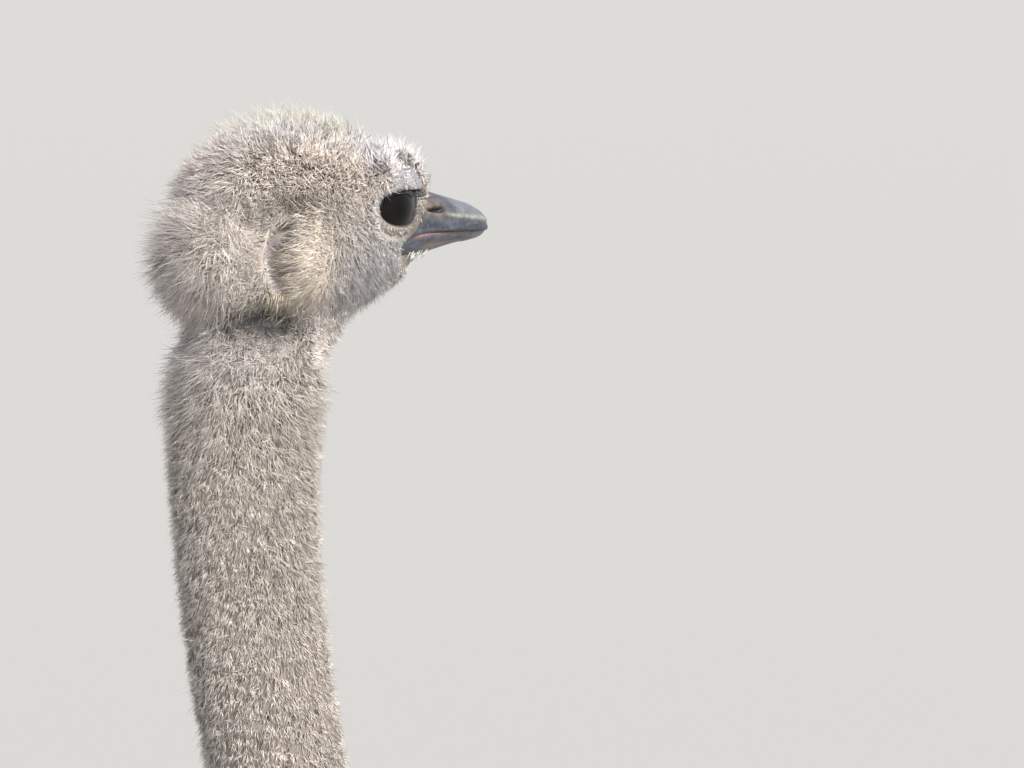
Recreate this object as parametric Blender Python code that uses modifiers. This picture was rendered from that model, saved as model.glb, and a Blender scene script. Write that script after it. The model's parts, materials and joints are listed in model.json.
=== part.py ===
"""Ostrich, full-grown cock, standing with its neck raised: one solid for each part of the body.

Metres, +X towards the bill, +Y the bird's left, +Z up, floor at Z = 0. The solids are the bird's outer
form, out to the tips of its down and plumes, parted where a keeper would name the parts.
"""

import math

import bmesh
import bpy
import numpy as np
from mathutils import Matrix, Vector

# Driving dimensions
EYE = Vector((0.565, 0.0, 2.140))  # between the two eyes
HEAD_PITCH = math.radians(3.0)  # bill below the level
CM = 0.01  # the head is drawn in centimetres from EYE
NECK_CUTS = (2.062, 1.880, 1.690, 1.500, 1.330)  # heights where the neck is parted
KNEE_HEIGHT = 0.960  # inside the trunk
HOCK_HEIGHT = 0.525
TOE_JOINT_HEIGHT = 0.082
STEP_LENGTH = 0.10  # the left foot stands this far ahead of the right
STANCE = 0.115  # from the middle plane to each foot
FOOT_X = -0.180  # toe joints, halfway between the two feet
KNEE_X, HOCK_X = 0.150, -0.125  # ahead of the toe joint
KNEE_OUT, HOCK_OUT = 0.045, 0.012  # further from the middle plane than the foot
KNEE_STEP, HOCK_STEP = 0.25, 0.75  # their shares of the foot's step
OUTER_TOE_OUT = 0.012
MAIN_HEADING, OUTER_HEADING = 0.10, 0.62  # how far the toes turn out, in radians
GAP = 0.0004  # between solids that touch
ACROSS, UP = Vector((0, 1, 0)), Vector((0, 0, 1))
SIDES = (("left", 1), ("right", -1))
LOCK_RELIEF = 0.011  # how far the edge of a row of feathers stands out
SOFTENING = 16  # rounds of smoothing where soft pieces run together
HEAD_TRIANGLES = 900
TRUNK_RINGS, TRUNK_SIDES, TRUNK_LOCKS = 19, 24, 6
TRUNK_WIDEST, TRUNK_POWER = 0.42, 2.15  # share of its height, and squareness of its section
WING_RINGS, WING_SIDES, WING_LOCKS = 11, 12, 3  # locks are bunches of feathers round one row
TAIL_PLUMES = 7
TAIL_ROOT = Vector((-0.50, 0, 1.10))
TAIL_SPREAD = 0.75  # radians from the middle to the outer plumes
TAIL_LENGTH = 0.37
PLUME_WIDTH, PLUME_THICK = 0.062, 0.030
WING_QUILLS = 5
QUILL_LENGTH, QUILL_WIDTH = 0.245, 0.056
QUILL_FRONT, QUILL_FRONT_WAY = Vector((-0.22, 0.290, 0.945)), Vector((-0.70, 0.06, -0.52))
QUILL_BACK, QUILL_BACK_WAY = Vector((-0.44, 0.230, 0.975)), Vector((-0.92, -0.10, -0.20))

# Outlines as (x, top, bottom, half width) in centimetres from EYE, back to front
CRANIUM = (
    (-9.3, 0.3, -2.4, 0.9),
    (-9.0, 1.6, -3.4, 2.1),
    (-8.2, 2.65, -4.4, 2.95),
    (-6.6, 3.5, -5.2, 3.6),
    (-4.75, 3.85, -5.4, 3.85),
    (-2.4, 3.75, -5.3, 3.7),
    (-0.3, 3.3, -4.9, 3.3),
    (1.4, 2.65, -4.3, 2.95),
    (2.9, 1.8, -3.7, 2.6),
    (4.1, 1.05, -3.2, 2.2),
    (4.9, 0.5, -2.9, 1.8),
)
BILL_UPPER = (
    (0.5, -2.08, -2.32, 2.1),
    (1.5, -1.5, -1.82, 2.4),
    (2.6, -0.1, -1.52, 2.5),
    (4.2, 0.65, -1.38, 2.35),
    (5.9, 0.25, -1.36, 2.05),
    (7.4, -0.08, -1.36, 1.75),
    (8.2, -0.38, -1.37, 1.35),
    (8.75, -0.75, -1.37, 0.9),
    (8.95, -1.0, -1.34, 0.4),
)
BILL_LOWER = (
    (0.4, -2.38, -3.1, 1.9),
    (1.4, -1.88, -2.95, 2.15),
    (2.5, -1.58, -2.75, 2.2),
    (4.2, -1.43, -2.4, 2.05),
    (5.9, -1.41, -2.1, 1.8),
    (7.4, -1.41, -1.85, 1.5),
    (8.1, -1.42, -1.73, 1.15),
    (8.55, -1.42, -1.66, 0.75),
    (8.7, -1.43, -1.6, 0.35),
)
# Rounded forms of the head as (centre, radii, turn): centimetres from EYE and radians. Where there are two
# the left one is given.
GULLET = ((-2.7, 0, -5.1), (2.9, 2.4, 1.55), -0.75)
NAPE_RUFF = ((-7.4, 0, -2.6), (4.0, 3.45, 3.1), 0)
BROW = ((-0.1, 2.05, 1.75), (2.5, 1.3, 1.05), 0.12)
EAR_PAD = ((-5.9, 2.9, -2.3), (1.9, 1.35, 2.4), -0.15)
EAR_HOLLOW = ((-7.7, 3.7, -2.1), (0.45, 0.8, 1.5), -0.1)
EYEBALL = ((0, 1.80, 0), (1.9, 1.62, 1.9), 0)
LIDS = ((0, 1.80, 0), (2.05, 1.77, 2.05), 0)
LID_OPENING = ((0, 3.9, -0.02), (1.32, 1.4, 0.92), 0.12)
NOSTRIL = ((4.2, 2.0, -0.05), (0.6, 0.34, 0.17), 0.2)
# The neck's middle line and thickness as (height, x, half depth, half width), in metres
NECK = (
    (2.115, 0.504, 0.034, 0.032),
    (2.062, 0.498, 0.036, 0.034),
    (2.020, 0.496, 0.0355, 0.0335),
    (1.950, 0.502, 0.0345, 0.0325),
    (1.880, 0.516, 0.0345, 0.033),
    (1.790, 0.540, 0.036, 0.0345),
    (1.690, 0.559, 0.040, 0.038),
    (1.590, 0.568, 0.044, 0.042),
    (1.500, 0.563, 0.050, 0.047),
    (1.410, 0.538, 0.060, 0.056),
    (1.330, 0.490, 0.075, 0.070),
    (1.270, 0.430, 0.095, 0.090),
    (1.210, 0.350, 0.125, 0.120),
    (1.150, 0.250, 0.150, 0.150),
)
# The trunk with its feathers as (x, top, bottom, half width), front to back
TRUNK = (
    (0.470, 1.130, 1.010, 0.050),
    (0.440, 1.200, 0.940, 0.120),
    (0.370, 1.265, 0.865, 0.185),
    (0.250, 1.325, 0.800, 0.240),
    (0.100, 1.365, 0.765, 0.275),
    (-0.080, 1.380, 0.760, 0.290),
    (-0.250, 1.365, 0.785, 0.280),
    (-0.400, 1.315, 0.840, 0.235),
    (-0.520, 1.235, 0.910, 0.165),
    (-0.590, 1.150, 0.975, 0.085),
    (-0.610, 1.100, 1.020, 0.040),
)
# The folded wing as (x, y, middle height, half height, half thickness), front to back
WING = (
    (0.330, 0.150, 1.165, 0.030, 0.020),
    (0.270, 0.205, 1.150, 0.105, 0.045),
    (0.130, 0.258, 1.115, 0.165, 0.060),
    (-0.050, 0.280, 1.080, 0.185, 0.066),
    (-0.230, 0.272, 1.045, 0.170, 0.062),
    (-0.380, 0.240, 1.015, 0.130, 0.052),
    (-0.500, 0.195, 0.995, 0.075, 0.036),
    (-0.560, 0.165, 0.985, 0.030, 0.016),
)
# Lower leg from knee to hock, then hock to toe joint, as (share of the way, half depth, half width)
DRUMSTICK = (
    (0.00, 0.145, 0.105),
    (0.22, 0.138, 0.104),
    (0.45, 0.104, 0.082),
    (0.65, 0.068, 0.057),
    (0.82, 0.045, 0.040),
    (0.94, 0.041, 0.037),
    (1.00, 0.044, 0.039),
)
SHANK = (
    (-0.060, 0.020, 0.018),
    (-0.038, 0.038, 0.033),
    (0.00, 0.047, 0.041),
    (0.06, 0.047, 0.041),
    (0.14, 0.040, 0.036),
    (0.26, 0.029, 0.027),
    (0.50, 0.025, 0.023),
    (0.75, 0.025, 0.024),
    (0.90, 0.028, 0.028),
    (1.00, 0.027, 0.029),
)
# Toes from the toe joint as (length, rise of the middle line, half height, half width)
MAIN_TOE = (
    (-0.047, 0.068, 0.012, 0.012),
    (-0.037, 0.068, 0.032, 0.030),
    (-0.008, 0.067, 0.045, 0.041),
    (0.030, 0.054, 0.050, 0.041),
    (0.072, 0.034, 0.038, 0.036),
    (0.100, 0.031, 0.036, 0.038),
    (0.130, 0.025, 0.028, 0.033),
    (0.155, 0.025, 0.028, 0.034),
    (0.180, 0.022, 0.024, 0.028),
    (0.195, 0.020, 0.016, 0.018),
)
OUTER_TOE = (
    (0.010, 0.060, 0.026, 0.018),
    (0.035, 0.042, 0.036, 0.023),
    (0.065, 0.026, 0.028, 0.022),
    (0.090, 0.022, 0.024, 0.022),
    (0.112, 0.018, 0.018, 0.017),
    (0.122, 0.016, 0.011, 0.011),
)

# Claws as (start along the toe, length, half width, height)
MAIN_CLAW = (0.172, 0.072, 0.0165, 0.026)
OUTER_CLAW = (0.106, 0.034, 0.0085, 0.016)


def clear_scene():
    for obj in list(bpy.data.objects):
        bpy.data.objects.remove(obj, do_unlink=True)


def new_collection(name):
    made = bpy.data.collections.new(name)
    bpy.context.scene.collection.children.link(made)
    return made


def new_material(name, colour, roughness, metallic=0.0):
    made = bpy.data.materials.new(name)
    made.use_nodes = True
    shader = made.node_tree.nodes["Principled BSDF"]
    shader.inputs["Base Color"].default_value = (*colour, 1.0)
    shader.inputs["Roughness"].default_value = roughness
    shader.inputs["Metallic"].default_value = metallic
    made.diffuse_color = (*colour, 1.0)
    return made


clear_scene()
BIRD = new_collection("ostrich")
CUTTERS = new_collection("cutters")
CUTTERS.hide_render = True

DOWN = new_material("neck down", (0.42, 0.36, 0.30), 0.9)
BLACK_PLUMAGE = new_material("black plumage", (0.02, 0.02, 0.022), 0.75)
WHITE_PLUMES = new_material("white plumes", (0.72, 0.69, 0.62), 0.85)
BARE_SKIN = new_material("bare leg skin", (0.40, 0.31, 0.27), 0.65)
SCALED_SKIN = new_material("scaled shank skin", (0.33, 0.28, 0.24), 0.55)
BILL_HORN = new_material("slate bill horn", (0.16, 0.16, 0.18), 0.4)
CLAW_HORN = new_material("claw horn", (0.10, 0.085, 0.07), 0.35)
EYE_WET = new_material("wet dark eye", (0.015, 0.009, 0.006), 0.05)


def smooth_rows(rows, count):
    """Rows read evenly from a Catmull-Rom curve through the given ones."""
    rows = np.array(rows, float)
    padded = np.vstack([2 * rows[0] - rows[1], rows, 2 * rows[-1] - rows[-2]])
    read = []
    for share in np.linspace(0, 1, count):
        place = share * (len(rows) - 1)
        i = min(int(place), len(rows) - 2)
        t = place - i
        a, b, c, d = padded[i : i + 4]
        bend = 2 * a - 5 * b + 4 * c - d
        twist = 3 * b - a - 3 * c + d
        read.append(0.5 * (2 * b + (c - a) * t + bend * t**2 + twist * t**3))
    return np.array(read)


def ring(centre, side, up, half_width, above, below, sides, power=2.0):
    """A closed rounded section: wider than an ellipse at its corners where power is over 2."""
    points = []
    for k in range(sides):
        angle = 2 * math.pi * (k + 0.5) / sides
        c, s = math.cos(angle), math.sin(angle)
        across = math.copysign(abs(c) ** (2 / power), c) * half_width
        rise = math.copysign(abs(s) ** (2 / power), s) * (above if s > 0 else below)
        points.append(centre + side * across + up * rise)
    return points


def new_object(name, mesh, material, collection=BIRD):
    obj = bpy.data.objects.new(name, mesh)
    obj.data.materials.append(material)
    collection.objects.link(obj)
    if collection is CUTTERS:
        obj.hide_render = True
        obj.display_type = "WIRE"
    return obj


def finished(bm, name):
    """The mesh in triangles, so that a cutter made from it bends along the same edges."""
    bmesh.ops.recalc_face_normals(bm, faces=bm.faces)
    bmesh.ops.triangulate(bm, faces=bm.faces)
    mesh = bpy.data.meshes.new(name)
    bm.to_mesh(mesh)
    bm.free()
    mesh.shade_smooth()
    mesh.set_sharp_from_angle(angle=math.radians(50))
    return mesh


def loft(name, rings, material, collection=BIRD, floor=False):
    """A closed skin over rings of points, with flat ends. On the floor its underside is pressed flat."""
    bm = bmesh.new()
    loops = []
    for points in rings:
        if floor:
            points = [Vector((p.x, p.y, max(p.z, 0.0))) for p in points]
        loops.append([bm.verts.new(p) for p in points])
    for one, other in zip(loops, loops[1:]):
        for k in range(len(one)):
            n = (k + 1) % len(one)
            bm.faces.new((one[k], one[n], other[n], other[k]))
    bm.faces.new(loops[0])
    bm.faces.new(loops[-1])
    return new_object(name, finished(bm, name), material, collection)


def along_path(rows, sides, power=2.0, ways=None):
    """Rings square to a path. Each row is (x, y, z, half depth, half width): depth lies fore and aft."""
    rings = []
    places = [Vector(row[:3]) for row in rows]
    for i, row in enumerate(rows):
        before, after = places[max(i - 1, 0)], places[min(i + 1, len(places) - 1)]
        way = (ways[i] if ways else after - before).normalized()
        front = way.cross(ACROSS).normalized()
        side = front.cross(way).normalized()
        rings.append(ring(places[i], side, front, row[4], row[3], row[3], sides, power))
    return rings


def grown(obj, by=GAP):
    """A cutter a little larger than obj, so that what it cuts stands clear of obj."""
    bm = bmesh.new()
    bm.from_mesh(obj.data)
    bm.normal_update()
    moves = [v.normal * by for v in bm.verts]
    for v, move in zip(bm.verts, moves):
        v.co += move
    mesh = bpy.data.meshes.new(obj.name + " cutter")
    bm.to_mesh(mesh)
    bm.free()
    return new_object(obj.name + " cutter", mesh, obj.data.materials[0], CUTTERS)


def boolean(obj, other, operation, solver="EXACT"):
    modifier = obj.modifiers.new(f"{operation.lower()} {other.name}", "BOOLEAN")
    modifier.operation = operation
    modifier.object = other
    modifier.solver = solver


def settle(obj):
    """Turns the result of an object's modifiers into its own mesh."""
    graph = bpy.context.evaluated_depsgraph_get()
    obj.data = bpy.data.meshes.new_from_object(obj.evaluated_get(graph))
    obj.modifiers.clear()


def cut(obj, *cutters, solver="EXACT"):
    for cutter in cutters:
        boolean(obj, cutter, "DIFFERENCE", solver)


def ellipsoid(name, centre, radii, material, collection=BIRD, sides=20, turn=0.0):
    """A ball scaled to three radii and turned about the cross axis by turn, in radians."""
    bm = bmesh.new()
    bmesh.ops.create_uvsphere(bm, u_segments=sides, v_segments=sides // 2, radius=1.0)
    bmesh.ops.rotate(bm, verts=bm.verts, cent=(0, 0, 0), matrix=Matrix.Rotation(math.pi / 2, 3, "X"))
    bmesh.ops.scale(bm, verts=bm.verts, vec=radii)
    bmesh.ops.rotate(bm, verts=bm.verts, cent=(0, 0, 0), matrix=Matrix.Rotation(turn, 3, "Y"))
    bmesh.ops.translate(bm, verts=bm.verts, vec=centre)
    return new_object(name, finished(bm, name), material, collection)


def in_head(x, y, z):
    """A point given in centimetres from between the eyes, with the head held at its pitch."""
    return EYE + Matrix.Rotation(HEAD_PITCH, 3, "Y") @ (Vector((x, y, z)) * CM)


def head_loft(name, outline, count, sides, power, widest=0.45, collection=BIRD, material=DOWN):
    """A loft along the head. Its sections are widest at this share of the way from bottom to top."""
    turn = Matrix.Rotation(HEAD_PITCH, 3, "Y")
    up = turn @ UP * CM
    side = ACROSS * CM
    rings = []
    for x, top, bottom, half_width in smooth_rows(outline, count):
        level = bottom + widest * (top - bottom)
        centre = in_head(x, 0, level)
        rings.append(ring(centre, side, up, half_width, top - level, level - bottom, sides, power))
    return loft(name, rings, material, collection)


def neck_at(height):
    """Middle, half depth, half width and downward direction of the neck at a height."""
    heights, forward, depths, widths = smooth_rows(NECK, 400)[::-1].T
    leans = np.gradient(forward, heights)
    x, depth, width, lean = (
        np.interp(height, heights, values) for values in (forward, depths, widths, leans)
    )
    return Vector((x, 0, height)), depth, width, Vector((-lean, 0, -1)).normalized()


def neck_rings(first, last, count, sides=16):
    """Rings between two heights on the neck, the last below the first, square to its middle line."""
    rows, ways = [], []
    for height in np.linspace(first, last, count):
        middle, depth, width, way = neck_at(height)
        rows.append((*middle, depth, width))
        ways.append(way)
    return along_path(rows, sides, ways=ways)


def blend(name, pieces, material, voxel, triangles):
    """One soft form over overlapping pieces, with the creases between them filled."""
    bm = bmesh.new()
    for piece in pieces:
        bm.from_mesh(piece.data)
        bpy.data.objects.remove(piece)
    mesh = bpy.data.meshes.new(name)
    bm.to_mesh(mesh)
    bm.free()
    soft = new_object(name, mesh, material)
    remesh = soft.modifiers.new("one surface", "REMESH")
    remesh.mode = "VOXEL"
    remesh.voxel_size = voxel
    smooth = soft.modifiers.new("soften", "SMOOTH")
    smooth.factor = 0.5
    smooth.iterations = SOFTENING
    settle(soft)
    fewer = soft.modifiers.new("fewer faces", "DECIMATE")
    fewer.ratio = triangles / (2 * len(soft.data.polygons))
    settle(soft)
    soft.data.materials.clear()
    soft.data.materials.append(material)
    soft.data.shade_smooth()
    return soft


def level_cutter(name, height, thick=0.08, wide=0.4):
    """A slab square to the neck whose face lies at this height on its middle line, with the rest below."""
    middle, depth, half_width, way = neck_at(height)
    bm = bmesh.new()
    bmesh.ops.create_cube(bm, size=1.0)
    bmesh.ops.scale(bm, verts=bm.verts, vec=(wide, wide, thick))
    bmesh.ops.translate(bm, verts=bm.verts, vec=(0, 0, thick / 2))
    bmesh.ops.rotate(bm, verts=bm.verts, cent=(0, 0, 0), matrix=way.to_track_quat("Z", "Y").to_matrix())
    bmesh.ops.translate(bm, verts=bm.verts, vec=middle)
    return new_object(name, finished(bm, name), DOWN, CUTTERS)


def head_ball(name, centre, radii, turn=0.0, collection=CUTTERS, material=DOWN, sides=16):
    """An ellipsoid on the head, given in centimetres from between the eyes."""
    radii = [radius * CM for radius in radii]
    return ellipsoid(name, in_head(*centre), radii, material, collection, sides, turn + HEAD_PITCH)


def on_side(form, side):
    """A rounded form of the head, moved to the bird's left (1) or right (-1)."""
    (x, y, z), radii, turn = form
    return (x, side * y, z), radii, turn


def make_head():
    soft = [
        head_loft("cranium", CRANIUM, 16, 24, 2.35, collection=CUTTERS),
        loft("throat", neck_rings(2.12, NECK_CUTS[0] - 0.05, 6), DOWN, CUTTERS),
        head_ball("gullet", *GULLET),
        head_ball("nape ruff", *NAPE_RUFF),
    ]
    for hand, side in SIDES:
        soft.append(head_ball(f"brow {hand}", *on_side(BROW, side)))
        # A pad of bristles lies ahead of the ear, whose opening is the hollow behind it.
        soft.append(head_ball(f"ear pad {hand}", *on_side(EAR_PAD, side)))
    head = blend("head", soft, DOWN, 0.0022, HEAD_TRIANGLES)
    cut(head, level_cutter("below the head", NECK_CUTS[0] + GAP / 2))
    upper = head_loft("bill_upper", BILL_UPPER, 10, 12, 2.6, 0.16, BIRD, BILL_HORN)
    lower = head_loft("bill_lower", BILL_LOWER, 8, 10, 2.6, 0.84, BIRD, BILL_HORN)
    for bill in (upper, lower):
        cut(head, grown(bill, 3 * GAP))
    for hand, side in SIDES:
        cut(head, head_ball(f"ear hollow {hand}", *on_side(EAR_HOLLOW, side), sides=10))
        eye = head_ball(f"eye_{hand}", *on_side(EYEBALL, side), BIRD, EYE_WET, 12)
        lids = head_ball(f"lids {hand}", *on_side(LIDS, side), sides=12)
        opening = head_ball(f"lid opening {hand}", *on_side(LID_OPENING, side), sides=12)
        boolean(head, lids, "UNION")
        cut(head, opening, grown(eye))
        cut(upper, grown(eye))
    # The nostrils are slots in the sides of the upper bill.
    for hand, side in SIDES:
        cut(upper, head_ball(f"nostril {hand}", *on_side(NOSTRIL, side), sides=10))


def lock_stand(k, sides, locks, row):
    """How far, from 0 to 1, a ring's point stands out in rows of feathers that overlap like shingles."""
    turn = locks * (k + 0.5) / sides + 0.5 * (row // 3 % 2)
    bunch = 0.5 + 0.5 * math.cos(2 * math.pi * turn)
    return (row % 3) / 2 * (0.4 + 0.6 * bunch)


def make_trunk():
    """The body under its feathers."""
    rings = []
    rows = smooth_rows(TRUNK, TRUNK_RINGS)
    for i, (x, top, bottom, half_width) in enumerate(rows):
        widest = bottom + TRUNK_WIDEST * (top - bottom)
        centre = Vector((x, 0, widest))
        above, below = top - widest, widest - bottom
        points = ring(centre, ACROSS, UP, half_width, above, below, TRUNK_SIDES, TRUNK_POWER)
        fade = min(1.0, i / 4, (len(rows) - 1 - i) / 4)
        for k, p in enumerate(points):
            stand = LOCK_RELIEF * fade * lock_stand(k, TRUNK_SIDES, TRUNK_LOCKS, i)
            points[k] = p + (p - centre).normalized() * stand
        rings.append(points)
    return loft("trunk", rings, BLACK_PLUMAGE)


def make_neck(trunk_room):
    """Five lengths of neck. The last is feathered like the breast and ends on the trunk."""
    heights = (*NECK_CUTS, NECK[-1][0])
    for i, (top, bottom) in enumerate(zip(heights, heights[1:])):
        name = f"neck_{i + 1}"
        if bottom in NECK_CUTS:
            loft(name, neck_rings(top - GAP / 2, bottom + GAP / 2, 6), DOWN)
        else:
            base = loft(name, neck_rings(top - GAP / 2, bottom, 7), BLACK_PLUMAGE)
            cut(base, trunk_room)


def plume(name, root, way, length, width, thick, droop):
    """One drooping plume as a flat closed blade, widest past its middle and rounded at its tip."""
    way = way.normalized()
    side = way.cross(UP).normalized()
    rings = []
    for share in (0.0, 0.25, 0.55, 0.82, 1.0):
        centre = root + way * (length * share) - UP * (droop * share**2)
        slope = (way * length - UP * (2 * droop * share)).normalized()
        up = side.cross(slope).normalized()
        spread = 0.45 + 0.55 * math.sin(0.95 * math.pi * share**0.8)
        tip = math.sqrt(max(1 - share**6, 0.05))
        rings.append(ring(centre, side, up, width * spread * tip, thick * tip, thick * tip, 6))
    return loft(name, rings, WHITE_PLUMES, CUTTERS)


def joined_plumes(name, plumes):
    """One body from plumes that overlap at their roots."""
    first, *others = plumes
    body = new_object(name, first.data, WHITE_PLUMES)
    bpy.data.objects.remove(first)
    group = new_collection(f"{name} plumes")
    group.hide_render = True
    for other in others:
        CUTTERS.objects.unlink(other)
        group.objects.link(other)
    modifier = body.modifiers.new("join plumes", "BOOLEAN")
    modifier.operation = "UNION"
    modifier.operand_type = "COLLECTION"
    modifier.collection = group
    modifier.solver = "EXACT"
    settle(body)
    return body


def make_tail(trunk_room, beside):
    """A fan of plumes that rise from the rump and hang over at their tips."""
    plumes = []
    for i in range(TAIL_PLUMES):
        across = 2 * i / (TAIL_PLUMES - 1) - 1
        outer = abs(across)
        turn = TAIL_SPREAD * across
        root = TAIL_ROOT + Vector((0, 0.055 * across, -0.015 * outer))
        way = Vector((-math.cos(turn), math.sin(turn), 0.10 - 0.25 * outer))
        length = TAIL_LENGTH - 0.05 * outer + 0.02 * (i % 2)
        droop = 0.17 + 0.03 * (i % 2)
        plumes.append(plume(f"tail plume {i}", root, way, length, PLUME_WIDTH, PLUME_THICK, droop))
    tail = joined_plumes("tail", plumes)
    cut(tail, trunk_room, *(grown(other) for other in beside), solver="MANIFOLD")


def make_coverts(hand, side, trunk_room):
    """The folded wing's black feathers over the flank."""
    rings = []
    out = ACROSS * side
    for i, (x, y, z, half_height, thick) in enumerate(smooth_rows(WING, WING_RINGS)):
        centre = Vector((x, side * y, z))
        points = ring(centre, out, UP, thick, half_height, half_height, WING_SIDES)
        for k, p in enumerate(points):
            # Over the back the wing bends in with the trunk.
            bend = 2.0 * max(p.z - z, 0) ** 2 + 0.5 * min(p.z - z, 0) ** 2
            stand = LOCK_RELIEF * lock_stand(k, WING_SIDES, WING_LOCKS, i)
            points[k] = p + out * (stand - bend)
        rings.append(points)
    wing = loft(f"wing_{hand}", rings, BLACK_PLUMAGE)
    cut(wing, trunk_room)
    settle(wing)
    return wing


def make_quills(hand, side, trunk_room, wing):
    """The white plumes that hang from the folded wing's hind edge."""
    plumes = []
    for i in range(WING_QUILLS):
        share = i / (WING_QUILLS - 1)
        root = QUILL_FRONT.lerp(QUILL_BACK, share)
        way = QUILL_FRONT_WAY.lerp(QUILL_BACK_WAY, share)
        root.y *= side
        way.y *= side
        length = QUILL_LENGTH + 0.02 * (i % 2)
        plumes.append(plume(f"quill {hand} {i}", root, way, length, QUILL_WIDTH, PLUME_THICK, 0.035))
    quills = joined_plumes(f"wing_quills_{hand}", plumes)
    # The exact solver loses one bunch of quills here.
    cut(quills, trunk_room, grown(wing), solver="MANIFOLD")
    settle(quills)
    return quills


def leg_points(side):
    """Knee, hock and toe joint of one leg. The left foot is ahead."""
    ahead = side * STEP_LENGTH / 2
    toe_joint = Vector((FOOT_X + ahead, side * STANCE, TOE_JOINT_HEIGHT))
    hock = Vector((FOOT_X + HOCK_X + ahead * HOCK_STEP, side * (STANCE + HOCK_OUT), HOCK_HEIGHT))
    knee = Vector((FOOT_X + KNEE_X + ahead * KNEE_STEP, side * (STANCE + KNEE_OUT), KNEE_HEIGHT))
    return knee, hock, toe_joint


def leg_rows(start, end, shares, count):
    """Rows of a limb's table, placed between its two ends."""
    return [(*start.lerp(end, share), depth, width) for share, depth, width in smooth_rows(shares, count)]


def toe(name, joint, heading, outline):
    """A toe that comes down from the toe joint and lies flat on the floor."""
    way = Vector((math.cos(heading), math.sin(heading), 0))
    side = Vector((-way.y, way.x, 0))
    rings = []
    for length, rise, half_height, half_width in smooth_rows(outline, 10):
        centre = Vector((joint.x, joint.y, rise)) + way * length
        rings.append(ring(centre, side, UP, half_width, half_height, half_height, 8, 2.3))
    return loft(name, rings, SCALED_SKIN, floor=True)


def claw(name, joint, heading, start, length, half_width, height):
    """A blunt nail that curves down to the floor."""
    way = Vector((math.cos(heading), math.sin(heading), 0))
    side = Vector((-way.y, way.x, 0))
    rings = []
    for share in np.linspace(0, 1, 6):
        rise = height * (1 - 0.72 * share**1.6)
        size = math.sqrt(max(1 - share**2.2, 0.03))
        centre = Vector((joint.x, joint.y, rise)) + way * (start + length * share)
        above, below = 0.62 * height * size, 0.5 * height * size
        rings.append(ring(centre, side, UP, half_width * size, above, below, 8))
    return loft(name, rings, CLAW_HORN, floor=True)


def make_leg(hand, side, trunk_room):
    knee, hock, toe_joint = leg_points(side)
    # The shank's rounded end fills the angle of the hock, and the thigh is cut to sit on it.
    shank = loft(f"shank_{hand}", along_path(leg_rows(hock, toe_joint, SHANK, 13), 10), SCALED_SKIN)
    shank_room = grown(shank)
    thigh = loft(f"thigh_{hand}", along_path(leg_rows(knee, hock, DRUMSTICK, 9), 12), BARE_SKIN)
    cut(thigh, trunk_room, shank_room)
    outer_joint = toe_joint + ACROSS * (side * OUTER_TOE_OUT)
    main_heading = side * MAIN_HEADING
    outer_heading = side * OUTER_HEADING
    main_toe = toe(f"toe_main_{hand}", toe_joint, main_heading, MAIN_TOE)
    outer_toe = toe(f"toe_outer_{hand}", outer_joint, outer_heading, OUTER_TOE)
    main_claw = claw(f"claw_main_{hand}", toe_joint, main_heading, *MAIN_CLAW)
    outer_claw = claw(f"claw_outer_{hand}", outer_joint, outer_heading, *OUTER_CLAW)
    cut(main_toe, shank_room, grown(main_claw))
    cut(outer_toe, grown(main_toe), shank_room, grown(outer_claw))


def make_ostrich():
    make_head()
    trunk = make_trunk()
    trunk_room = grown(trunk)
    make_neck(trunk_room)
    wings = []
    for hand, side in SIDES:
        wing = make_coverts(hand, side, trunk_room)
        quills = make_quills(hand, side, trunk_room, wing)
        wings += [wing, quills]
        make_leg(hand, side, trunk_room)
    make_tail(trunk_room, wings)


def centre_on_floor():
    """Hangs every part on one empty, which puts the origin on the floor under the middle of the bird."""
    origin = bpy.data.objects.new("standing point", None)
    bpy.context.scene.collection.objects.link(origin)
    bpy.context.view_layer.update()
    graph = bpy.context.evaluated_depsgraph_get()
    xs = []
    for obj in BIRD.objects:
        xs += [corner[0] for corner in obj.evaluated_get(graph).bound_box]
    for obj in bpy.data.objects:
        if obj is not origin:
            obj.parent = origin
    origin.location.x = -(min(xs) + max(xs)) / 2


make_ostrich()
centre_on_floor()
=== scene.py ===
# %% [markdown]
# # A cock ostrich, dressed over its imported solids
#
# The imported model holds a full-grown ostrich as plain solids: head, five lengths of neck, trunk,
# wings, legs and toes. This lesson dresses them. One skin goes under everything, a little smaller
# than the solids. On it stand the down of the head and neck, the black plumes of the body, and the
# white plumes of wings and tail, each as real mesh, because an exported model keeps meshes and
# loses particle hair.

# %% Load the frame
import json
import math

import bmesh
import bpy
import numpy as np
from mathutils import Matrix, Vector
from mathutils.bvhtree import BVHTree

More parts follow.
